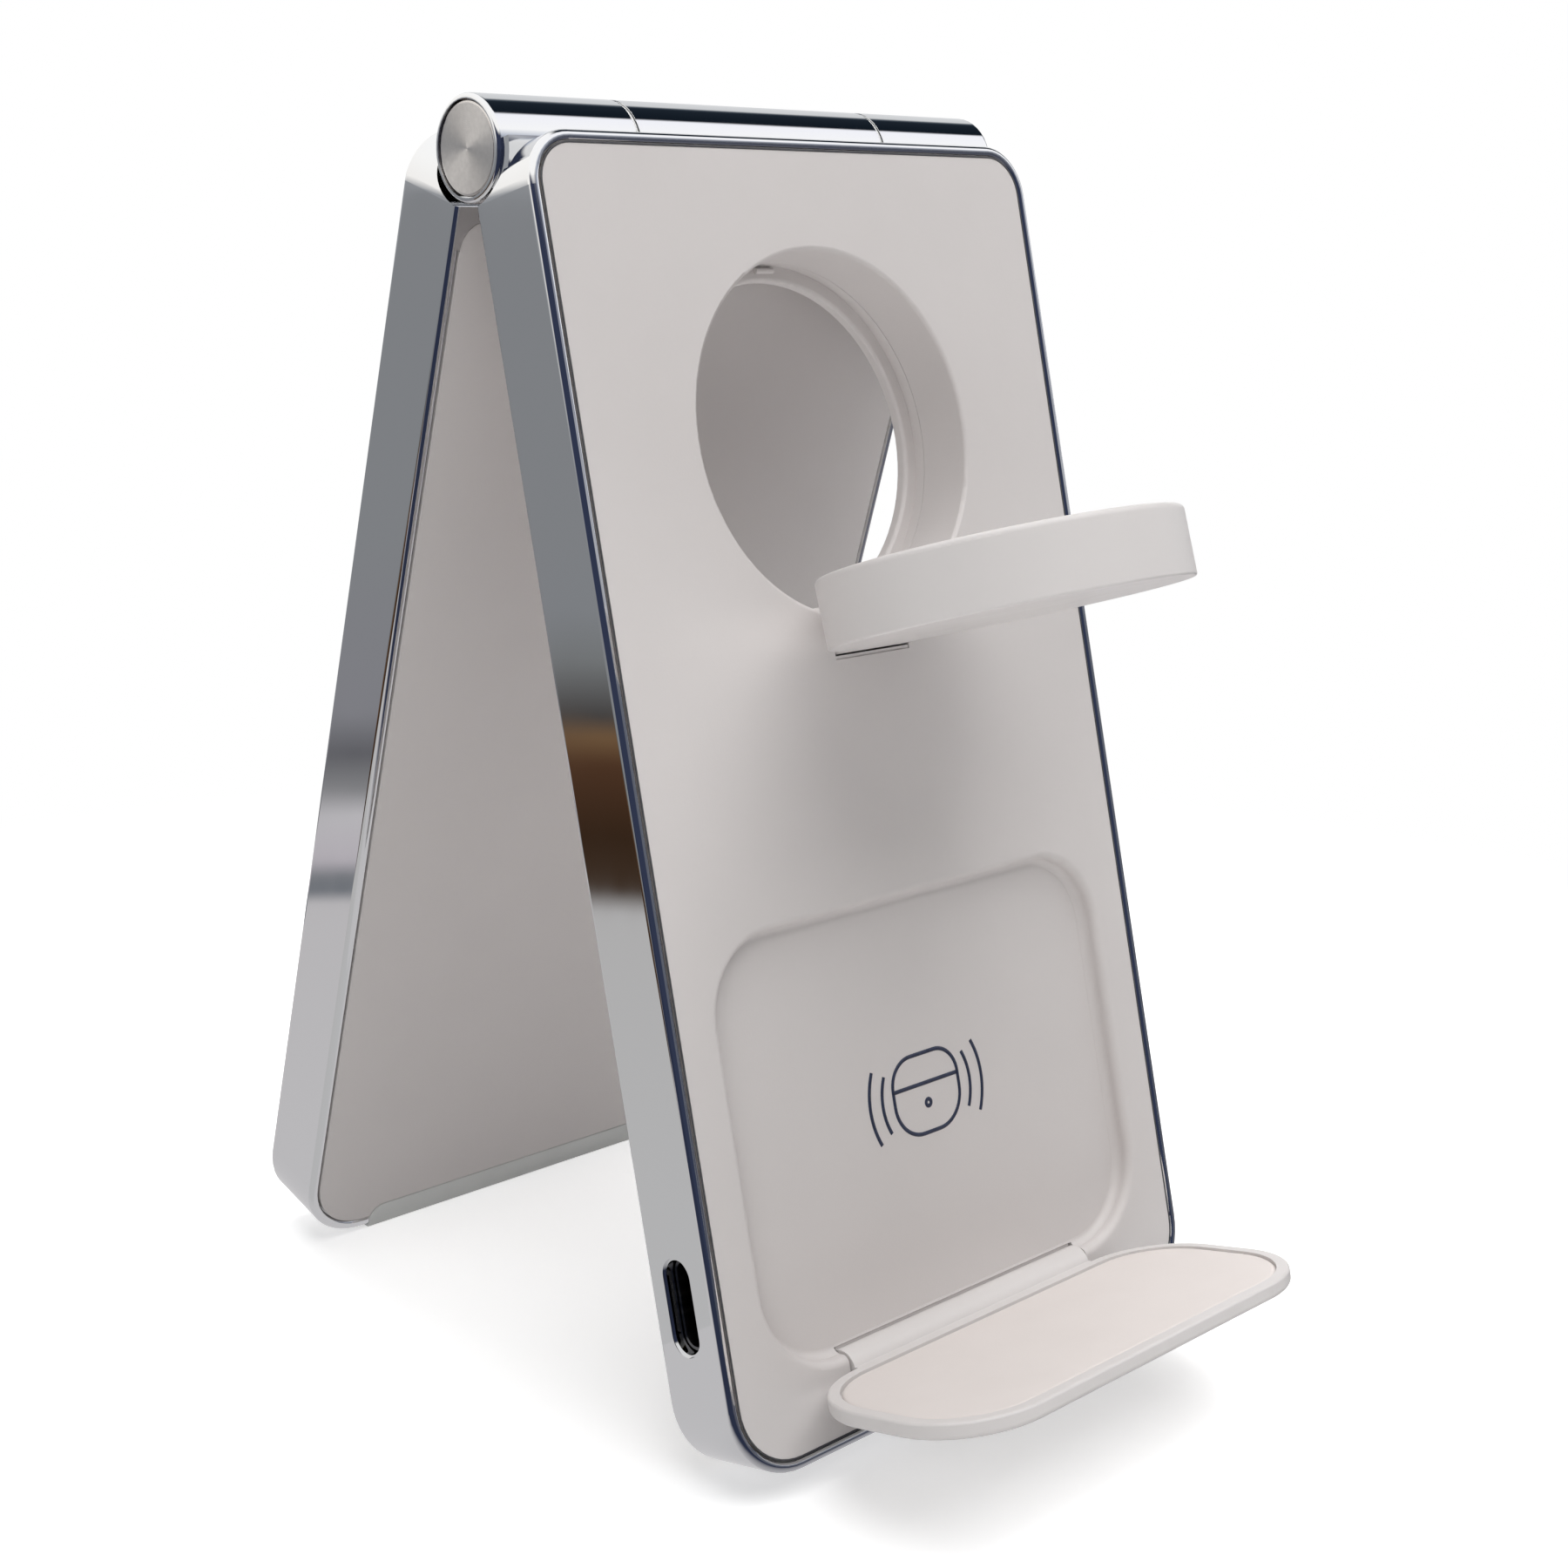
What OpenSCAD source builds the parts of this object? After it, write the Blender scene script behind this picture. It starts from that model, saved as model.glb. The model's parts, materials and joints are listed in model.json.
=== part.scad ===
// Folding wireless charging station: two chrome framed legs on a barrel hinge, a watch
// disc that flips out of a round hole in the front leg, and a drop-down earbud shelf.
// Each leg is drawn upright in its own frame: X across, Z down the leg (negative), and
// its outer face towards -Y. "v" is the distance below the hinge axis, and "n" is the
// distance outwards from the plane in which the two closed legs meet.

/* [Legs] */
// Width of a leg across its frame
leg_w = 68; // [67:0.5:76]
// Length of a leg from the hinge axis to the lower end of its frame
leg_len = 128.4; // [127:0.2:140]
// Depth of a leg from the meeting plane to its outer cover
leg_t = 8.94; // [8.9:0.02:10]
// Lean of each leg from the vertical when the station stands open
lean = 15.15; // [10:0.05:20]
// Visible width of the chrome rim around a cover
rim = 1.2; // [1:0.05:1.4]
// Depth of the ledge on which the covers seat
ledge = 1.3; // [1:0.1:1.5]
// Radius of the frame's upper corners
corner_top = 5.2; // [4:0.1:7]
// Radius of the frame's lower corners
corner_low = 8; // [6:0.1:10]
// Thickness of the outer covers
outer_skin = 1.5; // [1.4:0.05:1.6]
// Thickness of the inner covers
inner_skin = 1.2; // [1:0.05:1.25]
// Assembly clearance around covers and pads
fit = 0.1; // [0.08:0.01:0.15]

/* [Barrel hinge] */
// Outside radius of the hinge barrel
barrel_r = 5.04; // [4.8:0.02:5.3]
// Clear gap between the barrel and the scooped ends of the legs
scoop_gap = 0.5; // [0.4:0.05:0.9]
// Half length of the centre knuckle
knuckle_u = 16.6; // [12:0.1:22]
// Gap between neighbouring knuckles
knuckle_gap = 0.5; // [0.4:0.05:0.8]
// Radius of the hinge shaft
shaft_r = 2; // [1.5:0.1:2.5]
// Radial running clearance of the pins and the shaft
running = 0.05; // [0.03:0.01:0.08]
// Radius of the brushed end caps
cap_r = 4.4; // [4:0.05:4.5]
// Thickness of the end caps
cap_t = 0.9; // [0.7:0.1:1.5]

/* [Watch disc] */
// Distance of the hole's centre below the hinge axis
hole_v = 30; // [29:0.1:33]
// Radius of the hole in the front leg
hole_r = 18.54; // [18.3:0.02:19]
// Radius of the opening through the inner cover
hole_inner_r = 17; // [16:0.1:17.4]
// Radius of the disc
disc_r = 17.83; // [17.4:0.01:17.9]
// Thickness of the disc
disc_t = 6.9; // [6:0.05:7]
// Angle through which the disc opens
disc_open = 86.2; // [80:0.1:88]
// Distance of the disc's pin below the hole's centre
disc_pin_drop = 20.7; // [20.7:0.05:21.5]
// Width of the disc's hinge lug
disc_lug_w = 10; // [8:0.5:16]
// Radius of the disc's hinge barrel
disc_barrel_r = 1.5; // [1.5:0.05:1.7]
// Radius of the dished charging face
dish_r = 14; // [10:0.5:15]
// Depth of the dish
dish_depth = 0.5; // [0.3:0.05:0.6]

/* [Shelf] */
// Distance of the shelf's pin above the lower end of the frame
shelf_up = 7; // [6.8:0.1:8]
// Width of the shelf
shelf_w = 54.4; // [48:0.2:54.6]
// Depth of the shelf from its pin to its free edge
shelf_reach = 26.1; // [20:0.1:34]
// Thickness of the shelf
shelf_t = 1.7; // [1.5:0.05:1.8]
// Angle through which the shelf opens
shelf_open = 90; // [80:1:92]
// Radius of the shelf's free corners
shelf_corner = 9.5; // [6:0.5:10]
// Radius of the shelf's corners beside its hinge
shelf_heel = 9; // [8.8:0.1:9]
// Width of the shelf's hinge barrel
shelf_knuckle_w = 35.8; // [24:0.2:36]
// Radius of the shelf's hinge barrel
shelf_barrel_r = 1.9; // [1.8:0.05:2]
// Radius of the small hinge pins
pin_r = 0.75; // [0.6:0.05:0.9]
// Inset of the soft pad from the shelf's edge
pad_inset = 1.3; // [1:0.1:2]

/* [Earbud recess] */
// Width of the recess
recess_w = 55.4; // [55:0.1:56]
// Height of the recess
recess_h = 42.6; // [38:0.2:44]
// Depth of the recess below the front cover
recess_depth = 2; // [1.9:0.05:2.1]
// Radius of the recess's upper corners
recess_corner = 8; // [6:0.5:10]
// Radius of the rounding along the recess's edge
recess_edge = 0.8; // [0.4:0.1:1]
// Radius of the fillet around the recess's floor
recess_fillet = 0.8; // [0.4:0.1:1]

/* [Power inlet] */
// Distance of the socket's middle above the lower end of the frame
port_up = 17.8; // [16:0.1:22]
// Distance of the socket's middle from the meeting plane
port_n = 4.3; // [4.3:0.02:4.34]
// Length of the socket shell's mouth
socket_w = 8.94; // [8.9:0.02:9]
// Height of the socket shell's mouth
socket_h = 3.16; // [3.1:0.02:3.2]
// Distance of the socket shell's mouth behind the frame's side
shell_set = 1.2; // [0.4:0.1:1.6]
// Clearance between the socket shell and the opening in the frame
port_gap = 0.15; // [0.1:0.01:0.2]

/* [Coils] */
// Outside radius of the earbud coil
bud_coil_r = 18; // [12:0.5:18]
// Outside radius of the watch coil
watch_coil_r = 12.5; // [9:0.5:14]
// Outside radius of the phone coil
phone_coil_r = 21; // [17:0.5:22]
// Outside radius of the phone pad
phone_pad_r = 28; // [26.9:0.1:29]
// Distance of the phone pad's middle below the hinge axis
phone_v = 46; // [40:0.5:60]

/* [Hidden] */
$fn = 72;

far = 60;
half_w = leg_w / 2;
// The legs' upper ends stay this far below the axis, so that they can lie out flat
leg_top = 0.3;
face_gap = 0.08;
rim_proud = 0.12;
rim_n = leg_t + rim_proud;
rim_round = rim / 2;
foot_proud = 0.35;
axis_z = (leg_len + foot_proud) * cos(lean);

// Levels through the depth of a leg, from the meeting plane outwards
inner_n0 = face_gap + fit;
inner_n1 = inner_n0 + inner_skin;
ledge_n0 = inner_n1 + 0.02;
skin_n = leg_t - outer_skin;
skin_gap = 0.04;
ledge_n1 = skin_n - skin_gap;

// Hinge barrel
scoop_r = barrel_r + scoop_gap;
scoop_wall = 1.35;
neck_bite = 0.5;
neck_low = 4.8;
neck_inner = 2.5;
knuckle_out = half_w - 0.1;
knuckle_in = knuckle_u + knuckle_gap;
washer_t = knuckle_gap - 2 * fit;
washer_r = barrel_r - 0.15;
cap_set = 0.1;
neck_inset = 0.6;
neck_end = half_w - neck_inset;
knuckle_round = 0.45;

// Inner covers
inner_top = scoop_r + scoop_wall + fit;
inner_corner = 2.8;

// Foot strips
foot_half = 25;
foot_t = 1.85;
foot_rise = 2.5;
foot_corner = 2;

// Screws, their bosses on the covers and their lugs on the frames
screw_r = 0.7;
screw_head_r = 1.5;
screw_head_t = 0.44;
pilot_r = screw_r + 0.05;
boss_r = 1.9;
lug_r = 3.2;
lug_t = 1;
board_t = 0.8;
board_gap = 0.02;
board_n = port_n - socket_h / 2 - board_gap - board_t;
lug_gap = 0.05;
lug_n = board_n + board_t + lug_gap;
boss_n = lug_n + lug_t + lug_gap;
screw_end = 1.2;
screw_tip = skin_n - screw_end;
boss_inset = 2.9;
side_boss_u = half_w - rim - ledge - boss_inset;
side_boss_drop = 9.2;
rear_boss_v = 13;
low_boss_u = 24.2;
low_boss_up = 5;
low_boss_v = leg_len - low_boss_up;

// Watch disc, drawn closed inside the hole
disc_pin_v = hole_v + disc_pin_drop;
disc_pin_n = leg_t - disc_barrel_r - skin_gap;
disc_sunk = 0.2;
disc_n1 = leg_t - disc_sunk;
disc_n0 = disc_n1 - disc_t;
disc_wall = 1.2;
disc_round = 0.6;
disc_edge = 0.25;
lug_half = disc_lug_w / 2;
lug_side = 0.3;
trough_gap = 0.3;
trough_up = 5.5;
trough_wall = 0.9;
pin_seat = 1.7;
pin_gap = 0.02;
pin_end = 0.1;
disc_trough_half = lug_half + lug_side;
hole_wall = 1.2;
seam_n = inner_n1 + 1.3;
seam = 0.06;
hole_round = 0.4;
catch_r = 0.3;
catch_half = 1.2;
catch_in = 0.55;
face_t = 1;
face_r = disc_r - disc_wall;
dish_ball = (dish_r * dish_r + dish_depth * dish_depth) / (2 * dish_depth);

// Shelf, drawn closed inside the recess
shelf_v = leg_len - shelf_up;
recess_n = leg_t - recess_depth;
recess_low = shelf_v - 1.6;
recess_top = recess_low - recess_h;
recess_wall = 1;
shelf_n1 = leg_t - 0.09;
shelf_n0 = shelf_n1 - shelf_t;
shelf_pin_n = shelf_n0 + 0.35;
shelf_low = recess_low - 0.5;
shelf_top = shelf_v - shelf_reach;
shelf_round = 0.6;
shelf_lip = 0.3;
shelf_knuckle = shelf_knuckle_w / 2;
shelf_side = 0.25;
shelf_trough_half = shelf_knuckle + shelf_side;
pad_t = 0.4;
pad_sink = 0.1;

// Inlet
port_v = leg_len - port_up;
shell_u = -half_w + shell_set;
shell_wall = 0.3;
shell_len = 6.5;
tongue_set = 0.9;
port_flare = 0.25;
tongue_t = 0.7;
tongue_w = 6.7;

// Coils
coil_t = 0.9;
ferrite_t = 0.6;
coil_gap = 0.1;
bud_v = (recess_top + recess_low) / 2;
bud_n = recess_n - recess_wall - coil_gap;
pad_round = 0.3;
phone_pad_t = 0.7;
phone_pad_sink = 0.4;
magnet_w = 4.2;
phone_n = skin_n - skin_gap;

// Circuit board
board_drop = 5.4;
board_top = disc_pin_v + board_drop;
board_edge = 0.5;
board_inset = rim + ledge + board_edge;
board_up = 3.6;
board_corner = 2;
board_corner_low = 5;

// The origin lies on the table below the middle of the whole station
disc_front = front_reach(disc_pin_v, disc_pin_n, disc_pin_drop + disc_r,
    disc_n1 - disc_pin_n, disc_edge, disc_open - lean);
shelf_front = front_reach(shelf_v, shelf_pin_n, shelf_reach,
    shelf_n1 - shelf_pin_n, shelf_round, shelf_open - lean);
front_y = -max(disc_front, shelf_front);
rear_y = (leg_len - rim_round) * sin(lean) + (rim_n - rim_round) * cos(lean) + rim_round;
mid_y = (front_y + rear_y) / 2;

// How far an opened piece stands out in front of the hinge axis, from its pin's place, its
// reach and height above the pin, the rounding of its edge and its turn from the vertical
function front_reach(v, n, reach, high, r, turn) =
    v * sin(lean) + n * cos(lean) + (reach - r) * sin(turn) + (high - r) * cos(turn) + r;

// Places a leg in the open station
module front_leg() {
    translate([0, -mid_y, axis_z]) rotate([-lean, 0, 0]) children();
}

module rear_leg() {
    translate([0, -mid_y, axis_z]) rotate([lean, 0, 0]) mirror([0, 1, 0]) children();
}

// Opens a piece by an angle about a pin across the front leg
module swing(v, n, angle) {
    translate([0, -n, -v]) rotate([angle, 0, 0]) translate([0, n, v]) children();
}

module open_disc() {
    front_leg() swing(disc_pin_v, disc_pin_n, disc_open) children();
}

module open_shelf() {
    front_leg() swing(shelf_v, shelf_pin_n, shelf_open) children();
}

// A plate between two depths, from an outline in X and -v
module slab(n0, n1) {
    rotate([90, 0, 0]) translate([0, 0, n0]) linear_extrude(n1 - n0) children();
}

// A round piece through the depth of the leg
module round_slab(u, v, n0, n1, r) {
    translate([u, -n0, -v]) rotate([90, 0, 0]) cylinder(h = n1 - n0, r = r);
}

// A bar across the leg
module rod(v, n, u0, u1, r) {
    translate([u0, -n, -v]) rotate([0, 90, 0]) cylinder(h = u1 - u0, r = r);
}

// A block given by its ranges across, down and outwards
module block(u0, u1, v0, v1, n0, n1) {
    translate([u0, -n1, -v1]) cube([u1 - u0, n1 - n0, v1 - v0]);
}

// Outline with round corners, its upper edge at v0 and its lower edge at v1
module plan(w, v0, v1, r_top, r_low) {
    translate([-w / 2, -(v1 - r_low)]) square([w, v1 - r_low - v0 - r_top]);
    translate([-w / 2 + r_top, -(v0 + r_top)]) square([w - 2 * r_top, r_top]);
    translate([-w / 2 + r_low, -v1]) square([w - 2 * r_low, r_low]);
    for (s = [-1, 1]) {
        translate([s * (w / 2 - r_top), -(v0 + r_top)]) circle(r_top);
        translate([s * (w / 2 - r_low), -(v1 - r_low)]) circle(r_low);
    }
}

// The frame's own outline, drawn in by a distance
module leg_plan(inset) {
    plan(leg_w - 2 * inset, leg_top + inset, leg_len - inset,
        corner_top - inset, corner_low - inset);
}

// Rounds a length to a binary fraction. Sums of such lengths have no rounding error, so
// that the runs around an outline end in the same plane and join.
function snap(x) = round(x * pow(2, 26)) / pow(2, 26);

// Runs a section around the same outline: section x points outwards and y is the depth
module run_side(w, v0, v1, r_top, r_low) {
    translate([w / 2, 0, -(v0 + r_top)]) rotate([180, 0, 0])
        linear_extrude((v1 - r_low) - (v0 + r_top)) children();
}

module run_end(w, r) {
    translate([-w / 2 + r, 0, 0]) rotate([0, -90, 0]) rotate([180, 0, 0])
        linear_extrude(w - 2 * r) children();
}

module run_corner(w, r) {
    translate([w / 2 - r, 0, -r]) rotate([90, 0, 0])
        rotate_extrude(angle = 90) translate([r, 0]) children();
}

module run_around(w, v0, v1, r_top, r_low) {
    sw = 2 * snap(w / 2);
    s0 = snap(v0);
    s1 = snap(v1);
    st = snap(r_top);
    sl = snap(r_low);
    for (s = [0, 1]) mirror([s, 0, 0]) {
        run_side(sw, s0, s1, st, sl) children();
        translate([0, 0, -s0]) run_corner(sw, st) children();
        translate([0, 0, -s1]) mirror([0, 0, 1]) run_corner(sw, sl) children();
    }
    translate([0, 0, -s0]) run_end(sw, st) children();
    translate([0, 0, -s1]) mirror([0, 0, 1]) run_end(sw, sl) children();
}

// Section of the chrome frame: a bead at each face and a thick middle with the ledges
module frame_section() {
    translate([-rim, face_gap + rim_round]) square([rim, rim_n - face_gap - 2 * rim_round]);
    translate([-rim_round, rim_n - rim_round]) circle(rim_round, $fn = 32);
    translate([-rim_round, face_gap + rim_round]) circle(rim_round, $fn = 32);
    translate([-rim - ledge, ledge_n0]) square([ledge + rim, ledge_n1 - ledge_n0]);
}

// Section that rounds an edge: material outside a quarter circle at the origin corner
module edge_cut(r) {
    difference() {
        translate([-0.01, -r]) square([r + 0.01, r + 1]);
        translate([r, -r]) circle(r, $fn = 40);
    }
}

// Section that fills a corner between a floor and a wall, a little proud of both
module corner_fill(r) {
    proud = 0.02;
    difference() {
        translate([-r, -0.1]) square([r + 0.1, r + 0.1]);
        translate([-r - proud, r + proud]) circle(r, $fn = 40);
    }
}

// Frame without its hinge knuckles, with a scooped upper end that clears the barrel
module leg_frame(bosses) {
    difference() {
        union() {
            run_around(leg_w, leg_top, leg_len, corner_top, corner_low) frame_section();
            intersection() {
                slab(face_gap, ledge_n1) leg_plan(rim_round);
                rod(0, 0, -half_w, half_w, scoop_r + scoop_wall);
            }
            intersection() {
                slab(face_gap, ledge_n0 + 0.5) leg_plan(rim_round);
                block(-half_w, half_w, 0, inner_top + inner_corner, -1, leg_t);
            }
            intersection() {
                for (b = bosses) round_slab(b[0], b[1], lug_n, lug_n + lug_t, lug_r);
                slab(0, leg_t) leg_plan(rim);
            }
        }
        rod(0, 0, -far, far, scoop_r);
        slab(-1, ledge_n0) inner_plan(-fit);
        foot_space(fit);
        for (b = bosses) round_slab(b[0], b[1], 0, leg_t, screw_r + 0.2);
    }
}

// Neck that joins a stretch of the barrel to the leg
module neck(u0, u1) {
    intersection() {
        rod(0, 0, u0, u1, scoop_r + neck_bite);
        block(u0, u1, leg_top, neck_low, neck_inner, leg_t);
    }
}

// Outer knuckle on the right, with a rounded outer end
module outer_knuckle() {
    length = knuckle_out - knuckle_in;
    translate([knuckle_in, 0, 0]) rotate([0, 90, 0]) rotate_extrude() {
        square([barrel_r, length - knuckle_round]);
        square([barrel_r - knuckle_round, length]);
        translate([barrel_r - knuckle_round, length - knuckle_round])
            circle(knuckle_round, $fn = 32);
    }
    neck(knuckle_in, neck_end);
}

// Outline of an inner cover, drawn in by a distance
module inner_plan(inset) {
    plan(leg_w - 2 * (rim + fit + inset), inner_top + inset, leg_len - rim - fit - inset,
        inner_corner - inset, corner_low - rim - fit - inset);
}

// Space for the foot strip along the inner lower edge
module foot_space(gap) {
    slab(-1, face_gap + foot_t + gap)
        plan(2 * (foot_half + gap), leg_len - foot_rise - gap, leg_len + 3,
            foot_corner, 0.5);
}

module foot_strip() {
    slab(inner_n0, face_gap + foot_t)
        plan(2 * foot_half, leg_len - foot_rise, leg_len + 3, foot_corner, 0.5);
}

// Everything below the table, which gives the foot strips their level soles
module below_table() {
    translate([-far, -2 * far, -far]) cube([2 * far, 4 * far, far]);
}

module outer_skin_plate() {
    slab(skin_n, leg_t) leg_plan(rim + fit);
}

module bosses(list) {
    for (b = list) round_slab(b[0], b[1], boss_n, skin_n + 0.1, boss_r);
}

module pilots(list) {
    for (b = list) round_slab(b[0], b[1], boss_n - 1, screw_tip + 0.3, pilot_r);
}

// Low head screws, from their head's underside level
module screws(list, head_n) {
    for (b = list) {
        round_slab(b[0], b[1], head_n - screw_head_t, head_n, screw_head_r);
        round_slab(b[0], b[1], head_n - 0.01, screw_tip, screw_r);
    }
}

front_bosses = [
    [-side_boss_u, disc_pin_v + side_boss_drop],
    [side_boss_u, disc_pin_v + side_boss_drop],
    [-low_boss_u, low_boss_v], [low_boss_u, low_boss_v]
];
rear_bosses = [
    [-side_boss_u, rear_boss_v], [side_boss_u, rear_boss_v],
    [-low_boss_u, low_boss_v], [low_boss_u, low_boss_v]
];

// Rounded slot through the left wall for the power inlet
module inlet_slot(u0, u1, w, h) {
    r = h / 2;
    for (s = [-1, 1]) rod(port_v + s * (w / 2 - r), port_n, u0, u1, r);
    block(u0, u1, port_v - w / 2 + r, port_v + w / 2 - r, port_n - r, port_n + r);
}

module front_frame() color([0.78, 0.79, 0.8]) front_leg() difference() {
    union() {
        leg_frame(front_bosses);
        for (s = [0, 1]) mirror([s, 0, 0]) outer_knuckle();
    }
    rod(0, 0, -far, far, shaft_r + running);
    rod(0, 0, -far, -knuckle_out + cap_t + cap_set, cap_r + fit);
    rod(0, 0, knuckle_out - cap_t - cap_set, far, cap_r + fit);
    inlet_slot(-far, -half_w + 5, socket_w + 2 * port_gap, socket_h + 2 * port_gap);
    inlet_slot(-far, -half_w + port_flare, socket_w + 2 * port_gap + 2 * port_flare,
        socket_h + 2 * port_gap + 2 * port_flare);
}

module recess_plan(grow) {
    plan(recess_w + 2 * grow, recess_top - grow, recess_low + grow,
        recess_corner + grow, shelf_heel + grow);
}

// Trough in which a small hinge barrel turns, open towards the front
module trough(v, n, half, r, v_open) {
    rod(v, n, -half, half, r);
    block(-half, half, v_open, v + r, n, leg_t + 1);
    block(-half, half, v_open, v, n - r, n + 0.1);
}

module front_cover() color([0.86, 0.85, 0.84]) front_leg() difference() {
    union() {
        difference() {
            cover_blank();
            slab(recess_n, leg_t + 1) recess_plan(0);
            around_recess(leg_t) edge_cut(recess_edge);
        }
        around_recess(recess_n) corner_fill(recess_fillet);
    }
    round_slab(0, hole_v, -1, leg_t + 1, hole_r);
    translate([0, -leg_t, -hole_v]) rotate([90, 0, 0])
        rotate_extrude() translate([hole_r, 0]) edge_cut(hole_round);
    trough(disc_pin_v, disc_pin_n, disc_trough_half, disc_barrel_r + trough_gap,
        disc_pin_v - trough_up);
    trough_shelf();
    rod(disc_pin_v, disc_pin_n, -disc_trough_half - pin_seat, disc_trough_half + pin_seat,
        pin_r + pin_gap);
    rod(shelf_v, shelf_pin_n, -shelf_trough_half - pin_seat, shelf_trough_half + pin_seat,
        pin_r + pin_gap);
    pilots(front_bosses);
}

module around_recess(n) {
    translate([0, -n, 0])
        run_around(recess_w, recess_top, recess_low, recess_corner, shelf_heel) children();
}

// Outer plate of the front leg with the walls that stand behind it
module cover_blank() {
    outer_skin_plate();
    slab(recess_n - recess_wall, skin_n + 0.1) recess_plan(recess_wall);
    round_slab(0, hole_v, seam_n + seam, skin_n + 0.1, hole_r + hole_wall);
    block(-disc_trough_half - pin_seat - 0.6, disc_trough_half + pin_seat + 0.6,
        disc_pin_v - 5, disc_pin_v + disc_barrel_r + trough_gap + 1.2,
        disc_pin_n - disc_barrel_r - trough_gap - trough_wall, skin_n + 0.1);
    block(-shelf_trough_half - 3.15, shelf_trough_half + 3.15,
        shelf_v - 3, shelf_v + shelf_barrel_r + trough_gap + 0.8,
        shelf_pin_n - shelf_barrel_r - trough_gap - 0.8, skin_n + 0.1);
    bosses(front_bosses);
}

// The shelf's trough opens into the recess, above the level of its floor
module trough_shelf() {
    half = shelf_trough_half;
    r = shelf_barrel_r + trough_gap;
    rod(shelf_v, shelf_pin_n, -half, half, r);
    block(-half, half, shelf_v - r, shelf_v + r, shelf_pin_n, leg_t + 1);
}

module front_inner_cover() color([0.84, 0.83, 0.82]) front_leg() {
    difference() {
        union() {
            slab(inner_n0, inner_n1) inner_plan(0);
            round_slab(0, hole_v, inner_n0, seam_n, hole_r + hole_wall);
        }
        round_slab(0, hole_v, -1, leg_t, hole_inner_r);
        round_slab(0, hole_v, inner_n1, leg_t, hole_r);
        translate([0, -inner_n1, -hole_v]) rotate([90, 0, 0])
            rotate_extrude() translate([hole_inner_r, 0]) edge_cut(hole_round);
        foot_space(fit);
    }
    intersection() {
        rod(hole_v - hole_r + catch_in, inner_n1 + 0.8 * catch_r, -catch_half, catch_half, catch_r);
        round_slab(0, hole_v, inner_n0, seam_n, hole_r + hole_wall);
    }
}

module front_board() color([0.1, 0.32, 0.2]) front_leg() difference() {
    slab(board_n, board_n + board_t)
        plan(leg_w - 2 * board_inset, board_top, leg_len - board_up,
            board_corner, board_corner_low);
    for (b = front_bosses) round_slab(b[0], b[1], 0, leg_t, screw_r + 0.2);
}

module front_screws() color([0.6, 0.6, 0.6]) front_leg() {
    screws(front_bosses, board_n - 0.02);
}

module usb_shell() color([0.7, 0.71, 0.72]) front_leg() difference() {
    inlet_slot(shell_u, shell_u + shell_len, socket_w, socket_h);
    inlet_slot(-far, shell_u + shell_len - shell_wall, socket_w - 2 * shell_wall,
        socket_h - 2 * shell_wall);
}

module usb_tongue() color([0.12, 0.12, 0.13]) front_leg() {
    block(shell_u + tongue_set, shell_u + shell_len - shell_wall, port_v - tongue_w / 2,
        port_v + tongue_w / 2, port_n - tongue_t / 2, port_n + tongue_t / 2);
}

// Flat coil around the middle of a pad
module coil(v, n1, r, inner) {
    difference() {
        round_slab(0, v, n1 - coil_t, n1, r);
        round_slab(0, v, n1 - coil_t - 1, n1 + 1, inner);
    }
}

module earbud_coil() color([0.72, 0.42, 0.2]) front_leg() {
    coil(bud_v, bud_n, bud_coil_r, bud_coil_r * 0.45);
}

module earbud_ferrite() color([0.2, 0.2, 0.21]) front_leg() {
    round_slab(0, bud_v, bud_n - coil_t - ferrite_t, bud_n - coil_t, bud_coil_r + 0.5);
}

module front_foot() color([0.62, 0.63, 0.64]) difference() {
    front_leg() foot_strip();
    below_table();
}

module hinge_shaft() color([0.6, 0.61, 0.62]) front_leg() {
    rod(0, 0, -knuckle_out + cap_t + 2 * cap_set, knuckle_out - cap_t - 2 * cap_set, shaft_r);
}

module hinge_washers() color([0.9, 0.9, 0.9]) front_leg() {
    for (s = [-1, 1]) difference() {
        rod(0, 0, s * (knuckle_u + knuckle_gap / 2) - washer_t / 2,
            s * (knuckle_u + knuckle_gap / 2) + washer_t / 2, washer_r);
        rod(0, 0, -far, far, shaft_r + running);
    }
}

// Brushed disc that closes an end of the barrel
module end_cap() {
    rod(0, 0, knuckle_out - cap_t - cap_set, knuckle_out - cap_set, cap_r);
}

module left_cap() color([0.8, 0.78, 0.76]) front_leg() mirror([1, 0, 0]) end_cap();

module right_cap() color([0.8, 0.78, 0.76]) front_leg() end_cap();

// Profile of the disc's shell around its own axis, open at the charging face
module disc_section() {
    difference() {
        union() {
            translate([0, disc_n0 + disc_round])
                square([disc_r, disc_t - disc_round - disc_edge]);
            translate([0, disc_n0]) square([disc_r - disc_round, disc_t]);
            translate([0, disc_n0 + disc_t / 2]) square([disc_r - disc_edge, disc_t / 2]);
            translate([disc_r - disc_round, disc_n0 + disc_round])
                circle(disc_round, $fn = 32);
            translate([disc_r - disc_edge, disc_n1 - disc_edge])
                circle(disc_edge, $fn = 32);
        }
        translate([0, disc_n0 - 1]) square([face_r, face_t + 1]);
        translate([0, disc_n0]) square([face_r - 1, disc_t - disc_wall]);
    }
}

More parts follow.
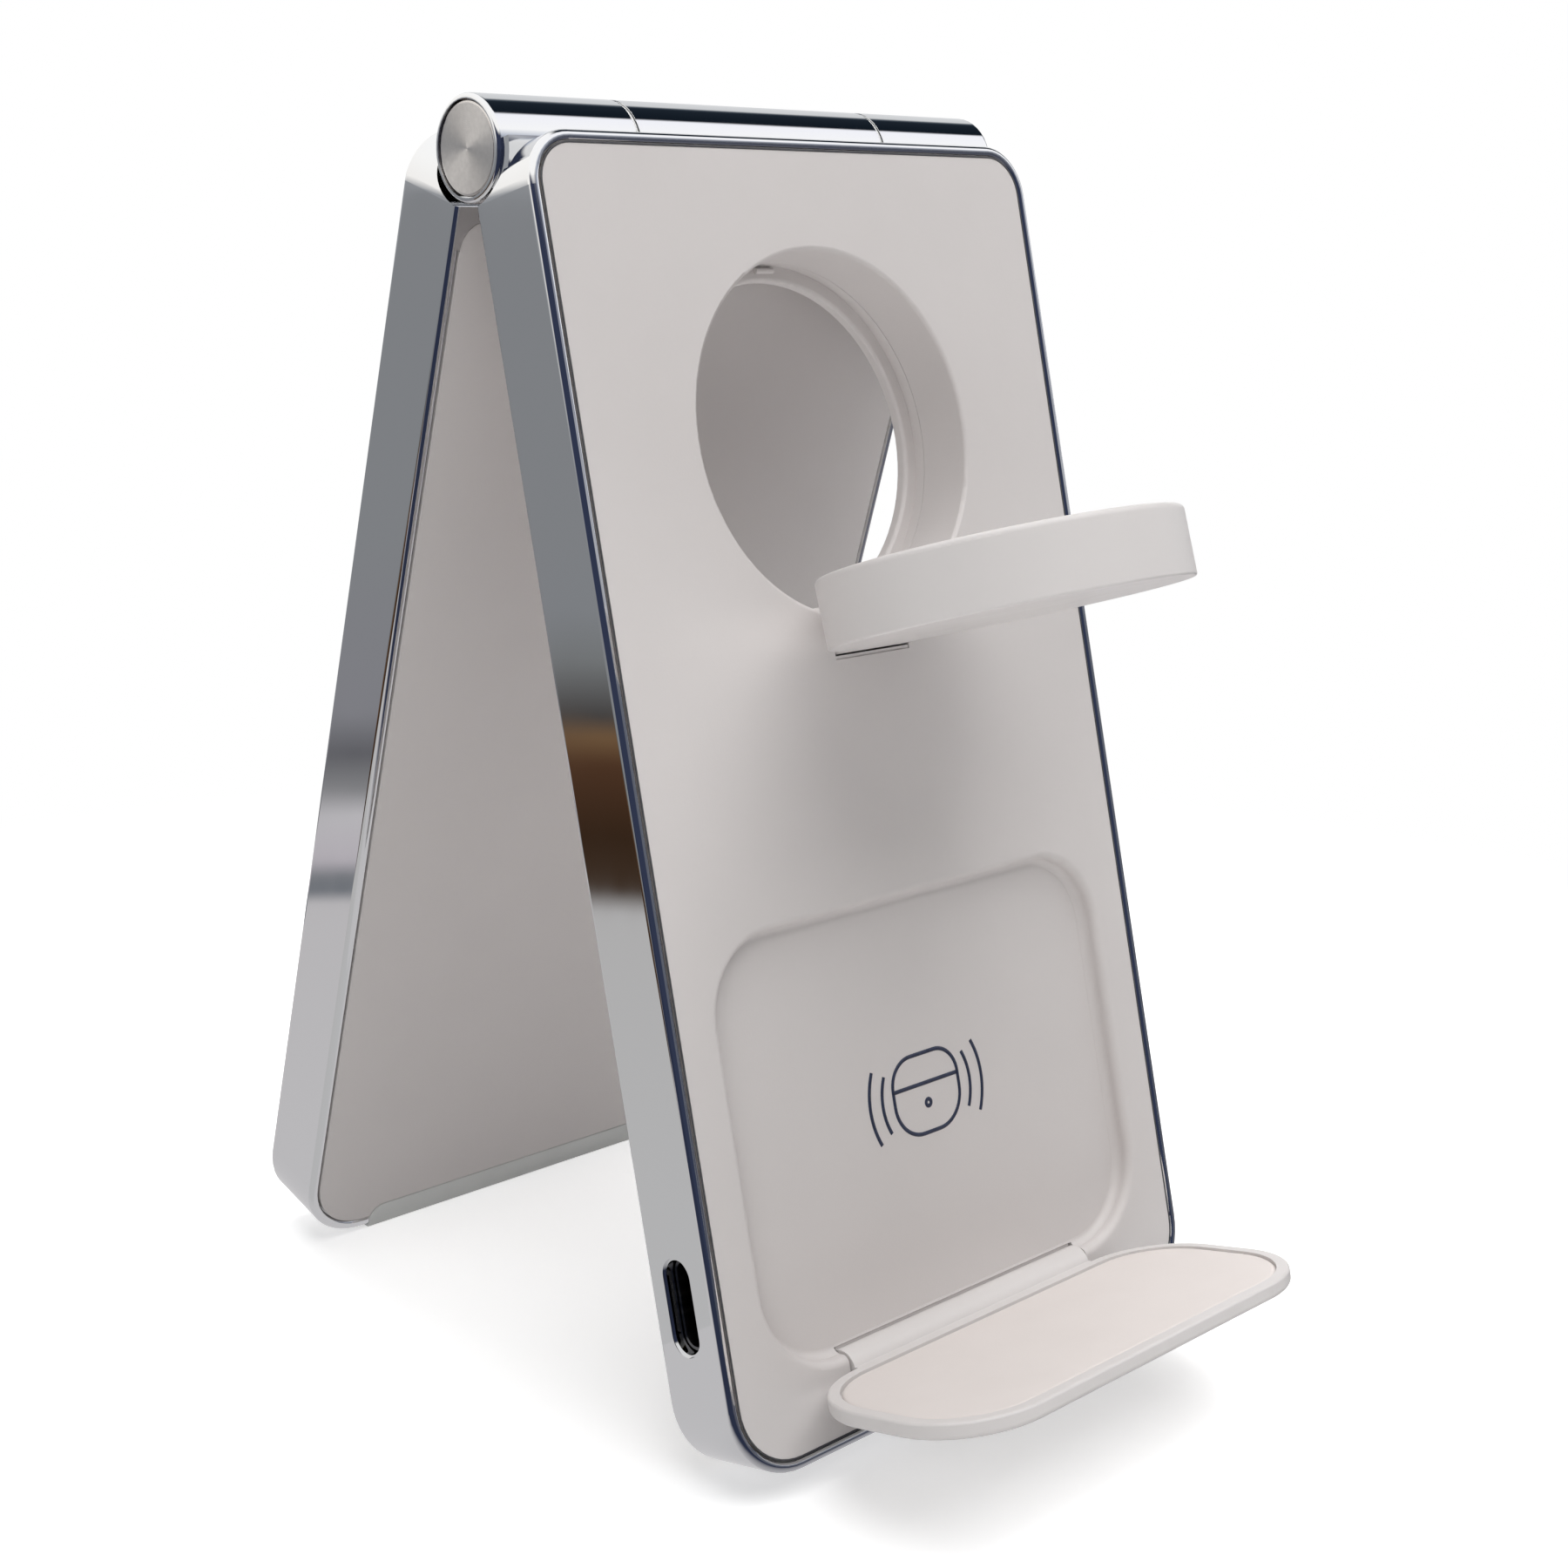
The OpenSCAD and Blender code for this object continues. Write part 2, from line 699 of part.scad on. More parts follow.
module disc_shell() color([0.87, 0.86, 0.85]) open_disc() difference() {
    union() {
        translate([0, 0, -hole_v]) rotate([90, 0, 0]) rotate_extrude() disc_section();
        difference() {
            block(-lug_half, lug_half, disc_pin_v - 4.8, disc_pin_v,
                disc_pin_n - disc_barrel_r, disc_n1);
            round_slab(0, hole_v, 0, leg_t, disc_r - disc_wall / 2);
        }
        rod(disc_pin_v, disc_pin_n, -lug_half, lug_half, disc_barrel_r);
    }
    rod(disc_pin_v, disc_pin_n, -far, far, pin_r + running);
}

module disc_face() color([0.9, 0.9, 0.9]) open_disc()
    translate([0, -disc_n0, -hole_v]) rotate([90, 0, 0]) rotate_extrude() difference() {
        translate([0, 0.1]) square([face_r - fit, face_t - 0.12]);
        translate([0, 0.1 + dish_depth - dish_ball]) circle(dish_ball, $fn = 720);
        translate([-2 * dish_ball, -dish_ball]) square([2 * dish_ball, 2 * dish_ball]);
    }

module disc_coil() color([0.72, 0.42, 0.2]) open_disc() {
    coil(hole_v, disc_n0 + face_t + coil_gap + coil_t, watch_coil_r, watch_coil_r * 0.5);
}

module disc_ferrite() color([0.2, 0.2, 0.21]) open_disc() {
    round_slab(0, hole_v, disc_n0 + face_t + coil_gap + coil_t,
        disc_n0 + face_t + coil_gap + coil_t + ferrite_t, watch_coil_r + 0.5);
}

module disc_magnet() color([0.65, 0.66, 0.67]) open_disc() {
    round_slab(0, hole_v, disc_n0 + face_t + coil_gap, disc_n0 + face_t + coil_gap + coil_t,
        watch_coil_r * 0.5 - 0.5);
}

module disc_pin() color([0.6, 0.61, 0.62]) front_leg() {
    half = disc_trough_half + pin_seat - pin_end;
    rod(disc_pin_v, disc_pin_n, -half, half, pin_r);
}

// Rounded edge of the shelf, which runs around its outline
module shelf_section() {
    translate([-2 * shelf_round, shelf_n0 + shelf_lip])
        square([2 * shelf_round, shelf_t - shelf_lip - shelf_round]);
    translate([-2 * shelf_round, shelf_n0]) square([2 * shelf_round - shelf_lip, shelf_t]);
    translate([-shelf_lip, shelf_n0 + shelf_lip]) circle(shelf_lip, $fn = 32);
    translate([-shelf_round, shelf_n1 - shelf_round]) circle(shelf_round, $fn = 32);
}

module shelf_edge() {
    difference() {
        shelf_section();
        difference() {
            translate([-shelf_round, shelf_n1 - shelf_round]) square(2 * shelf_round);
            translate([-shelf_round, shelf_n1 - shelf_round]) circle(shelf_round, $fn = 32);
        }
    }
}

module shelf_plan(inset) {
    plan(shelf_w - 2 * inset, shelf_top + inset, shelf_low - inset,
        shelf_corner - inset, shelf_heel - inset);
}

module shelf_flap() color([0.89, 0.88, 0.87]) open_shelf() difference() {
    union() {
        slab(shelf_n0, shelf_n1) shelf_plan(1.5 * shelf_round);
        run_around(shelf_w, shelf_top, shelf_low, shelf_corner, shelf_heel) shelf_edge();
        block(-shelf_knuckle, shelf_knuckle, shelf_low - 2, shelf_v, shelf_n0, shelf_n1);
        rod(shelf_v, shelf_pin_n, -shelf_knuckle, shelf_knuckle, shelf_barrel_r);
    }
    rod(shelf_v, shelf_pin_n, -far, far, pin_r + running);
    slab(0, shelf_n0 + pad_t + pad_sink) shelf_plan(pad_inset);
}

module shelf_pad() color([0.87, 0.85, 0.83]) open_shelf() {
    slab(shelf_n0 + pad_sink, shelf_n0 + pad_sink + pad_t) shelf_plan(pad_inset + fit);
}

module shelf_pin() color([0.6, 0.61, 0.62]) front_leg() {
    half = shelf_trough_half + pin_seat - pin_end;
    rod(shelf_v, shelf_pin_n, -half, half, pin_r);
}

module rear_frame() color([0.78, 0.79, 0.8]) rear_leg() difference() {
    union() {
        leg_frame(rear_bosses);
        rod(0, 0, -knuckle_u, knuckle_u, barrel_r);
        neck(-knuckle_u, knuckle_u);
    }
    rod(0, 0, -far, far, shaft_r + running);
}

module rear_inner_cover() color([0.84, 0.83, 0.82]) rear_leg() difference() {
    slab(inner_n0, inner_n1) inner_plan(0);
    foot_space(fit);
}

module rear_outer_cover() color([0.86, 0.85, 0.84]) rear_leg() difference() {
    union() {
        outer_skin_plate();
        bosses(rear_bosses);
    }
    round_slab(0, phone_v, leg_t - phone_pad_sink, leg_t + 1, phone_pad_r + fit);
    pilots(rear_bosses);
}

module rear_screws() color([0.6, 0.6, 0.6]) rear_leg() screws(rear_bosses, lug_n - 0.02);

// Soft disc on which the phone rests, with a rounded edge
module phone_pad() color([0.8, 0.8, 0.8]) rear_leg()
    translate([0, -(leg_t - phone_pad_sink), -phone_v]) rotate([90, 0, 0]) rotate_extrude() {
        square([phone_pad_r, phone_pad_t - pad_round]);
        square([phone_pad_r - pad_round, phone_pad_t]);
        translate([phone_pad_r - pad_round, phone_pad_t - pad_round])
            circle(pad_round, $fn = 32);
    }

module phone_coil() color([0.72, 0.42, 0.2]) rear_leg() {
    coil(phone_v, phone_n, phone_coil_r, phone_coil_r * 0.42);
}

module phone_ferrite() color([0.2, 0.2, 0.21]) rear_leg() {
    round_slab(0, phone_v, phone_n - coil_t - ferrite_t, phone_n - coil_t,
        phone_coil_r + 0.5);
}

module magnet_ring() color([0.65, 0.66, 0.67]) rear_leg() difference() {
    round_slab(0, phone_v, phone_n - 2 * coil_t, phone_n, phone_coil_r + 1 + magnet_w);
    round_slab(0, phone_v, 0, leg_t, phone_coil_r + 1);
}

module rear_foot() color([0.62, 0.63, 0.64]) difference() {
    rear_leg() foot_strip();
    below_table();
}

front_frame();
front_cover();
front_inner_cover();
front_board();
front_screws();
usb_shell();
usb_tongue();
earbud_coil();
earbud_ferrite();
front_foot();
hinge_shaft();
hinge_washers();
left_cap();
right_cap();
disc_shell();
disc_face();
disc_coil();
disc_ferrite();
disc_magnet();
disc_pin();
shelf_flap();
shelf_pad();
shelf_pin();
rear_frame();
rear_inner_cover();
rear_outer_cover();
rear_screws();
phone_pad();
phone_coil();
phone_ferrite();
magnet_ring();
rear_foot();
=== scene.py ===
"""Looks of the folding charging station: finishes, fine pieces, studio and camera.

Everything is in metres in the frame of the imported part. X runs along the barrel hinge,
-Y is the watch disc's side and Z is up from the table.

Places on a leg are given by three lengths in millimetres: u across, v down the leg from
the hinge axis and n outwards from the plane in which the legs meet when folded.
"""

import json
import math

import bmesh
import bpy
from mathutils import Matrix, Vector


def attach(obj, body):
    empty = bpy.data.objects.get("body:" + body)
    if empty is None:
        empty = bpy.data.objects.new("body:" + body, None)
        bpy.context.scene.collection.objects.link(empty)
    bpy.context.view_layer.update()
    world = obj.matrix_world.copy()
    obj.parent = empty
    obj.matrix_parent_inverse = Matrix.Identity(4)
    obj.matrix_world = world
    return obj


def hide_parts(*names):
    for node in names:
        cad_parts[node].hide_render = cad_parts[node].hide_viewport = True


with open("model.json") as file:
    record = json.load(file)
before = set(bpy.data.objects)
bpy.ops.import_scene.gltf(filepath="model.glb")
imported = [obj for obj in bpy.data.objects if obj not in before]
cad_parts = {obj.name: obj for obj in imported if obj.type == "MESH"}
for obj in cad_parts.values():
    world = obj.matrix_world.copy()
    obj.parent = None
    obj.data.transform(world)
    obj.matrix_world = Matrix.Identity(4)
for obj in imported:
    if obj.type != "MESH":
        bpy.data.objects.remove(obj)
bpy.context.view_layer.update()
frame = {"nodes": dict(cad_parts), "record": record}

MM = 0.001

# Middle of the barrel hinge in metres, and the lean of both legs
HINGE = Vector((0.0, 0.0111053, 0.124275))
LEAN = math.radians(15.15)


def leg_frame(side):
    """Turns (u, v, n) in millimetres into the place on the front (-1) or rear (1) leg."""
    sine, cosine = math.sin(LEAN), math.cos(LEAN)
    across = Vector((MM, 0, 0))
    down = Vector((0, side * sine, -cosine)) * MM
    outwards = Vector((0, side * cosine, sine)) * MM
    turned = Matrix((across, down, outwards)).transposed().to_4x4()
    return Matrix.Translation(HINGE) @ turned


def swung(v, n, angle):
    """Opening of a flap by an angle in degrees about a pin at v, n of the front leg."""
    turn = Matrix.Rotation(-math.radians(angle), 4, "X")
    return Matrix.Translation((0, v, n)) @ turn @ Matrix.Translation((0, -v, -n))


FRONT_LEG = leg_frame(-1)
REAR_LEG = leg_frame(1)
# The flaps' pins as (v, n), and the flaps' places when they are open as in the photograph
DISC_PIN = (50.7, 7.4)
SHELF_PIN = (121.4, 7.5)
OPEN_DISC = FRONT_LEG @ swung(*DISC_PIN, 86.2)
OPEN_SHELF = FRONT_LEG @ swung(*SHELF_PIN, 90)
# How far down the leg the middles of the charging places are
WATCH_V, EARBUD_V, PHONE_V = 30, 98.5, 46


# Finishes


def new_finish(name, colour, metallic=0.0, roughness=0.5, **sockets):
    """A material with its shader; the sockets that stay even are set on the shader."""
    material = bpy.data.materials.new(name)
    material.use_nodes = True
    shader = material.node_tree.nodes["Principled BSDF"]
    shader.inputs["Base Color"].default_value = (*colour, 1)
    shader.inputs["Metallic"].default_value = metallic
    shader.inputs["Roughness"].default_value = roughness
    for socket, value in sockets.items():
        shader.inputs[socket.replace("_", " ")].default_value = value
    return material, material.node_tree, shader


def add(tree, kind, **settings):
    """A new node with some of its settings changed."""
    node = tree.nodes.new(kind)
    for key, value in settings.items():
        setattr(node, key, value)
    return node


def noise(tree, scale, detail=2.0, stretch=(1, 1, 1)):
    """Noise on the piece's own coordinates, scaled by stretch along X, Y and Z."""
    coords = add(tree, "ShaderNodeTexCoord")
    mapping = add(tree, "ShaderNodeMapping", vector_type="POINT")
    mapping.inputs["Scale"].default_value = stretch
    tree.links.new(coords.outputs["Object"], mapping.inputs["Vector"])
    texture = add(tree, "ShaderNodeTexNoise")
    texture.inputs["Scale"].default_value = scale
    texture.inputs["Detail"].default_value = detail
    tree.links.new(mapping.outputs["Vector"], texture.inputs["Vector"])
    return texture.outputs["Fac"]


def ramp(tree, value, low, high, start=0.3, end=0.7, soft=False):
    """Maps a value from start..end to low..high, held at both ends."""
    node = add(tree, "ShaderNodeMapRange")
    if soft:
        node.interpolation_type = "SMOOTHSTEP"
    node.inputs["From Min"].default_value = start
    node.inputs["From Max"].default_value = end
    node.inputs["To Min"].default_value = low
    node.inputs["To Max"].default_value = high
    tree.links.new(value, node.inputs["Value"])
    return node.outputs["Result"]


def tint(tree, shader, value, first, second):
    """Base colour that drifts between two shades with a value."""
    mix = add(tree, "ShaderNodeMix", data_type="RGBA")
    mix.inputs["A"].default_value = (*first, 1)
    mix.inputs["B"].default_value = (*second, 1)
    tree.links.new(ramp(tree, value, 0, 1), mix.inputs["Factor"])
    tree.links.new(mix.outputs["Result"], shader.inputs["Base Color"])


def relief(tree, shader, value, depth, strength=1.0, below=None):
    """Surface relief of a depth in metres; below is a coarser relief to stand on."""
    bump = add(tree, "ShaderNodeBump")
    bump.inputs["Distance"].default_value = depth
    bump.inputs["Strength"].default_value = strength
    tree.links.new(value, bump.inputs["Height"])
    if below:
        tree.links.new(below, bump.inputs["Normal"])
    tree.links.new(bump.outputs["Normal"], shader.inputs["Normal"])
    return bump.outputs["Normal"]


def chrome_finish():
    """Mirror plating with faint handling haze and a very slow plating wave."""
    material, tree, shader = new_finish("chrome", (0.70, 0.705, 0.715), 1.0, 0.05)
    haze = noise(tree, 90, 3, (1, 1, 0.35))
    tree.links.new(ramp(tree, haze, 0.04, 0.09, 0.35, 0.75), shader.inputs["Roughness"])
    relief(tree, shader, noise(tree, 55, 1, (1, 1, 0.4)), 0.00002)
    return material


def cover_finish():
    """Fine matt moulded plastic of the legs' covers."""
    material, tree, shader = new_finish("white_cover", (0.63, 0.596, 0.586), 0, 0.5)
    tint(tree, shader, noise(tree, 45, 3), (0.620, 0.587, 0.577), (0.640, 0.606, 0.596))
    spark = relief(tree, shader, noise(tree, 5200, 2), 0.000012, 0.6)
    relief(tree, shader, noise(tree, 900, 2), 0.00001, 0.4, spark)
    tree.links.new(
        ramp(tree, noise(tree, 300, 2), 0.46, 0.56), shader.inputs["Roughness"]
    )
    return material


def satin_finish():
    """Smoother satin plastic of the disc's shell and the shelf."""
    material, tree, shader = new_finish("shelf_white", (0.68, 0.65, 0.64), 0, 0.38)
    tint(tree, shader, noise(tree, 60, 2), (0.672, 0.642, 0.632), (0.69, 0.66, 0.65))
    relief(tree, shader, noise(tree, 3800, 2), 0.000008, 0.5)
    tree.links.new(
        ramp(tree, noise(tree, 240, 2), 0.35, 0.44), shader.inputs["Roughness"]
    )
    return material


def silicone_finish(name, colour, shade, grain):
    """Soft matt silicone with a fine grain and a little sheen."""
    material, tree, shader = new_finish(
        name, colour, 0, 0.72, Sheen_Weight=0.12, Sheen_Roughness=0.5
    )
    tint(tree, shader, noise(tree, 120, 3), colour, shade)
    fine = relief(tree, shader, noise(tree, grain, 3), 0.00002, 0.5)
    relief(tree, shader, noise(tree, grain / 6, 2), 0.00002, 0.25, fine)
    return material


def spun_finish():
    """Bare warm metal of the turned end caps, which shines across its tool marks."""
    material, tree, shader = new_finish(
        "brushed_cap",
        (0.72, 0.69, 0.665),
        1.0,
        0.3,
        Anisotropic=0.85,
        Anisotropic_Rotation=0.25,
    )
    turned = add(tree, "ShaderNodeTangent", direction_type="RADIAL", axis="X")
    tree.links.new(turned.outputs[0], shader.inputs["Tangent"])
    marks = noise(tree, 2200, 3)
    tint(tree, shader, marks, (0.68, 0.65, 0.625), (0.75, 0.72, 0.695))
    tree.links.new(ramp(tree, marks, 0.28, 0.34), shader.inputs["Roughness"])
    return material


def steel_finish():
    """Drawn steel of the shaft, the pins and the screws."""
    material, tree, shader = new_finish("steel", (0.52, 0.53, 0.54), 1.0, 0.3)
    streaks = noise(tree, 2600, 3, (0.06, 1, 1))
    tree.links.new(ramp(tree, streaks, 0.24, 0.38), shader.inputs["Roughness"])
    relief(tree, shader, streaks, 0.000006, 0.5)
    return material


def copper_finish():
    """Enamelled copper wire."""
    material, tree, shader = new_finish("copper", (0.62, 0.27, 0.10), 0.9, 0.32)
    strands = noise(tree, 3000, 2)
    tint(tree, shader, strands, (0.52, 0.20, 0.07), (0.70, 0.33, 0.13))
    relief(tree, shader, strands, 0.00002, 0.5)
    return material


def ferrite_finish():
    """Dark sintered sheet behind the coils."""
    material, tree, shader = new_finish("ferrite", (0.03, 0.03, 0.032), 0, 0.7)
    tint(tree, shader, noise(tree, 700, 4), (0.022, 0.022, 0.024), (0.05, 0.05, 0.052))
    relief(tree, shader, noise(tree, 2500, 3), 0.00002, 0.5)
    return material


def magnet_finish():
    """Bright nickel plating of the magnets."""
    material, tree, shader = new_finish("magnet", (0.50, 0.51, 0.52), 1.0, 0.28)
    tree.links.new(
        ramp(tree, noise(tree, 500, 3), 0.22, 0.36), shader.inputs["Roughness"]
    )
    return material


def board_finish():
    """Solder mask with the faint relief of the tracks below it."""
    material, tree, shader = new_finish("board_green", (0.01, 0.09, 0.035), 0, 0.32)
    coords = add(tree, "ShaderNodeTexCoord")
    tracks = add(tree, "ShaderNodeTexBrick")
    tracks.inputs["Scale"].default_value = 260
    tree.links.new(coords.outputs["Object"], tracks.inputs["Vector"])
    tint(tree, shader, tracks.outputs["Fac"], (0.008, 0.075, 0.03), (0.02, 0.13, 0.05))
    relief(tree, shader, tracks.outputs["Fac"], 0.00002, 0.5)
    return material


def tongue_finish():
    """Black plastic of the socket's tongue."""
    material, tree, shader = new_finish("tongue_black", (0.012, 0.012, 0.013), 0, 0.3)
    tree.links.new(
        ramp(tree, noise(tree, 1500, 2), 0.24, 0.36), shader.inputs["Roughness"]
    )
    return material


def washer_finish():
    """Slippery white plastic of the washers between the knuckles."""
    material, tree, shader = new_finish("washer_white", (0.78, 0.78, 0.77), 0, 0.4)
    tint(tree, shader, noise(tree, 800, 2), (0.75, 0.75, 0.74), (0.80, 0.80, 0.79))
    relief(tree, shader, noise(tree, 3000, 2), 0.000008, 0.4)
    return material


def socket_shade_finish():
    """Steel of the inlet's shell, made dark as painted shade inside the port."""
    material, tree, shader = new_finish("socket_steel_painted_shade", (0.10, 0.10, 0.105), 1.0, 0.34)
    streaks = noise(tree, 1800, 3, (0.1, 1, 1))
    tint(tree, shader, streaks, (0.08, 0.08, 0.085), (0.13, 0.13, 0.135))
    tree.links.new(ramp(tree, streaks, 0.28, 0.42), shader.inputs["Roughness"])
    return material


def gold_finish():
    """Thin gold on the inlet's contacts."""
    material, tree, shader = new_finish("contact_gold", (0.75, 0.52, 0.20), 1.0, 0.25)
    tree.links.new(
        ramp(tree, noise(tree, 4000, 2), 0.2, 0.32), shader.inputs["Roughness"]
    )
    return material


def ink_finish():
    """Dark blue pad-printed ink, slightly uneven."""
    material, tree, shader = new_finish("mark_ink", (0.018, 0.024, 0.055), 0, 0.42)
    tint(tree, shader, noise(tree, 1500, 3), (0.014, 0.019, 0.046), (0.026, 0.034, 0.07))
    relief(tree, shader, noise(tree, 2600, 2), 0.000004, 0.5)
    return material


def gap_shade_finish():
    """Dark strip that paints the shade in the gap between a cover and its frame."""
    material, tree, shader = new_finish("gap_shade_strip", (0.06, 0.06, 0.065), 0, 0.6)
    tint(tree, shader, noise(tree, 700, 2), (0.05, 0.05, 0.055), (0.075, 0.075, 0.08))
    return material


FINISHES = {
    "chrome": chrome_finish(),
    "brushed_cap": spun_finish(),
    "white_cover": cover_finish(),
    "shelf_white": satin_finish(),
    "soft_pad": silicone_finish(
        "soft_pad", (0.72, 0.665, 0.64), (0.74, 0.685, 0.66), 4200
    ),
    "foot_grey": silicone_finish(
        "foot_grey", (0.60, 0.61, 0.60), (0.64, 0.65, 0.64), 3600
    ),
    "steel": steel_finish(),
    "copper": copper_finish(),
    "ferrite": ferrite_finish(),
    "magnet": magnet_finish(),
    "board_green": board_finish(),
    "tongue_black": tongue_finish(),
    "washer_white": washer_finish(),
}
SOCKET_STEEL_PAINTED_SHADE = socket_shade_finish()
CONTACT_GOLD = gold_finish()
MARK_INK = ink_finish()
# Dark finish of the strips that paint the shade in the gaps around the covers
PAINTED_GAP_SHADE = gap_shade_finish()

for part in frame["record"]["subparts"]:
    mesh = frame["nodes"][part["node"]].data
    mesh.materials.clear()
    mesh.materials.append(FINISHES[part["material_slot"]])
# The inlet's shell is made dark steel, its darkness painted shade inside the port
frame["nodes"]["usb_shell"].data.materials[0] = SOCKET_STEEL_PAINTED_SHADE


# Making of pieces


def new_piece(name, mesh, body, slot, finish=None, replaces=()):
    """A finished piece at the origin that rides on a body."""
    if not mesh.materials:
        mesh.materials.append(finish or FINISHES[slot])
    piece = bpy.data.objects.new(name, mesh)
    bpy.context.scene.collection.objects.link(piece)
    if replaces:
        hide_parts(*replaces)
    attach(piece, body)
    return piece


def shaded(mesh, sharp):
    """Smooth shading with creases where faces meet at more than an angle in degrees."""
    mesh.shade_smooth()
    mesh.set_sharp_from_angle(angle=math.radians(sharp))
    return mesh


def rings_mesh(name, rings):
    """Skin over rings of points with as many points each, with its ends closed."""
    build = bmesh.new()
    loops = [[build.verts.new(point) for point in ring] for ring in rings]
    count = len(loops[0])
    for low, high in zip(loops, loops[1:]):
        for i in range(count):
            k = (i + 1) % count
            build.faces.new((low[i], low[k], high[k], high[i]))
    build.faces.new(reversed(loops[0]))
    build.faces.new(loops[-1])
    bmesh.ops.recalc_face_normals(build, faces=build.faces)
    mesh = bpy.data.meshes.new(name)
    build.to_mesh(mesh)
    build.free()
    return mesh


def plan_outline(width, top, low, top_corner, low_corner, steps=12):
    """Points (u, v) around an outline from v = top to v = low with round corners."""
    top_u, top_v = width / 2 - top_corner, top + top_corner
    low_u, low_v = width / 2 - low_corner, low - low_corner
    corners = [
        (low_u, low_v, low_corner, 0),
        (-low_u, low_v, low_corner, 90),
        (-top_u, top_v, top_corner, 180),
        (top_u, top_v, top_corner, 270),
    ]
    points = []
    for u, v, radius, start in corners:
        for step in range(steps + 1):
            angle = math.radians(start + 90 * step / steps)
            points.append((u + radius * math.cos(angle), v + radius * math.sin(angle)))
    return points


# Pieces of the hinge


# End caps in millimetres: distances of the back and of the ringed face from the middle
# of the hinge, radius where the rings begin, and pitch and depth of the rings
CAP_BACK, CAP_FACE, CAP_RINGED = 32.92, 33.77, 4.12
RING_PITCH, RING_DEPTH = 0.14, 0.003
# Side of a cap from its back to the face, as (radius, distance)
CAP_SIDE = [(0.02, CAP_BACK), (4.36, CAP_BACK), (4.38, 33.55), (4.30, 33.70)]
CAP_CHAMFER = (CAP_RINGED, 33.735)
CAP_POINTS = 96


def spun_cap(name, side, node):
    """Turned end cap: fine rings around its middle and a small bright chamfer."""
    profile = [*CAP_SIDE, CAP_CHAMFER]
    wave = (0, -1, 0, 1)
    radius, step = CAP_RINGED, 0
    while radius > RING_PITCH:
        profile.append((radius, CAP_FACE + RING_DEPTH * wave[step % 4]))
        radius -= RING_PITCH / 4
        step += 1
    profile.append((0.03, CAP_FACE))
    angles = [math.tau * i / CAP_POINTS for i in range(CAP_POINTS)]
    rings = [
        [
            HINGE + Vector((side * x, r * math.cos(turn), r * math.sin(turn))) * MM
            for turn in angles
        ]
        for r, x in profile
    ]
    mesh = shaded(rings_mesh(name, rings), 40)
    new_piece(name, mesh, "front_leg", "brushed_cap", replaces=(node,))


spun_cap("left_spun_cap", -1, "left_cap")
spun_cap("right_spun_cap", 1, "right_cap")


# Seals of the two small hinges


# Their sections across the pin, as (v, n) from the pin's middle
DISC_SEAL_SECTION = [
    (1.44, 1.44),
    (1.44, 0.52),
    (1.53, 0.0),
    (1.44, -0.52),
    (1.44, -1.2),
    (1.77, -1.2),
    (1.77, 1.44),
]
SHELF_SEAL_SECTION = [
    (-1.80, -0.66),
    (-1.62, -1.06),
    (-1.36, -1.36),
    (-1.02, -1.62),
    (-1.16, -1.83),
    (-1.54, -1.53),
    (-1.84, -1.17),
    (-2.05, -0.66),
]


def hinge_seal(name, pin, half_length, section):
    """Soft strip along a small hinge, in the gap between its barrel and its trough."""
    rings = [
        [FRONT_LEG @ Vector((u, pin[0] + v, pin[1] + n)) for v, n in section]
        for u in (-half_length, half_length)
    ]
    new_piece(name, rings_mesh(name, rings), "front_leg", "white_cover")


hinge_seal("disc_hinge_seal", DISC_PIN, 5.22, DISC_SEAL_SECTION)
hinge_seal("shelf_hinge_seal", SHELF_PIN, 17.85, SHELF_SEAL_SECTION)


# Soft pads and feet

# The shelf's width, its ends down the leg, its corners and the rim around its pad
SHELF_WIDTH, SHELF_TOP, SHELF_LOW = 54.4, 95.3, 119.3
SHELF_TOP_CORNER, SHELF_LOW_CORNER, SHELF_RIM = 9.5, 9, 1.4
PHONE_PAD_RADIUS = 28
# Moulded edges of the pads from the back to the top, as (inset, n); the open shelf's
# upper side is the one at the smaller n
SHELF_PAD_EDGE = [
    (0.05, 7.65),
    (0.05, 7.50),
    (0.12, 7.39),
    (0.26, 7.31),
    (0.5, 7.265),
    (1.4, 7.25),
]
PHONE_PAD_EDGE = [
    (0, 8.54),
    (0, 8.96),
    (0.08, 9.12),
    (0.24, 9.21),
    (0.5, 9.24),
    (2.0, 9.24),
]


def soft_pad(name, outline, edge, place, body, node):
    """Moulded pad: an outline drawn in step by step, from its back to its top."""
    rings = [
        [place @ Vector((u, v, n)) for u, v in outline(inset)] for inset, n in edge
    ]
    mesh = shaded(rings_mesh(name, rings), 40)
    new_piece(name, mesh, body, "soft_pad", replaces=(node,))


def shelf_pad_outline(inset):
    margin = SHELF_RIM + inset
    return plan_outline(
        SHELF_WIDTH - 2 * margin,
        SHELF_TOP + margin,
        SHELF_LOW - margin,
        SHELF_TOP_CORNER - margin,
        SHELF_LOW_CORNER - margin,
    )


def phone_pad_outline(inset, count=144):
    radius = PHONE_PAD_RADIUS - inset
    angles = [math.tau * i / count for i in range(count)]
    return [
        (radius * math.cos(turn), PHONE_V + radius * math.sin(turn)) for turn in angles
    ]


soft_pad(
    "shelf_cushion", shelf_pad_outline, SHELF_PAD_EDGE, OPEN_SHELF, "shelf", "shelf_pad"
)
soft_pad(
    "phone_cushion", phone_pad_outline, PHONE_PAD_EDGE, REAR_LEG, "rear_leg", "phone_pad"
)

# Foot strips: distance for joining points in metres, angles in degrees up to which faces
# are merged and from which edges are rounded, and the rounding in millimetres
FOOT_JOIN, FOOT_FLAT, FOOT_SHARP, FOOT_ROUND = 1e-6, 2, 30, 0.18


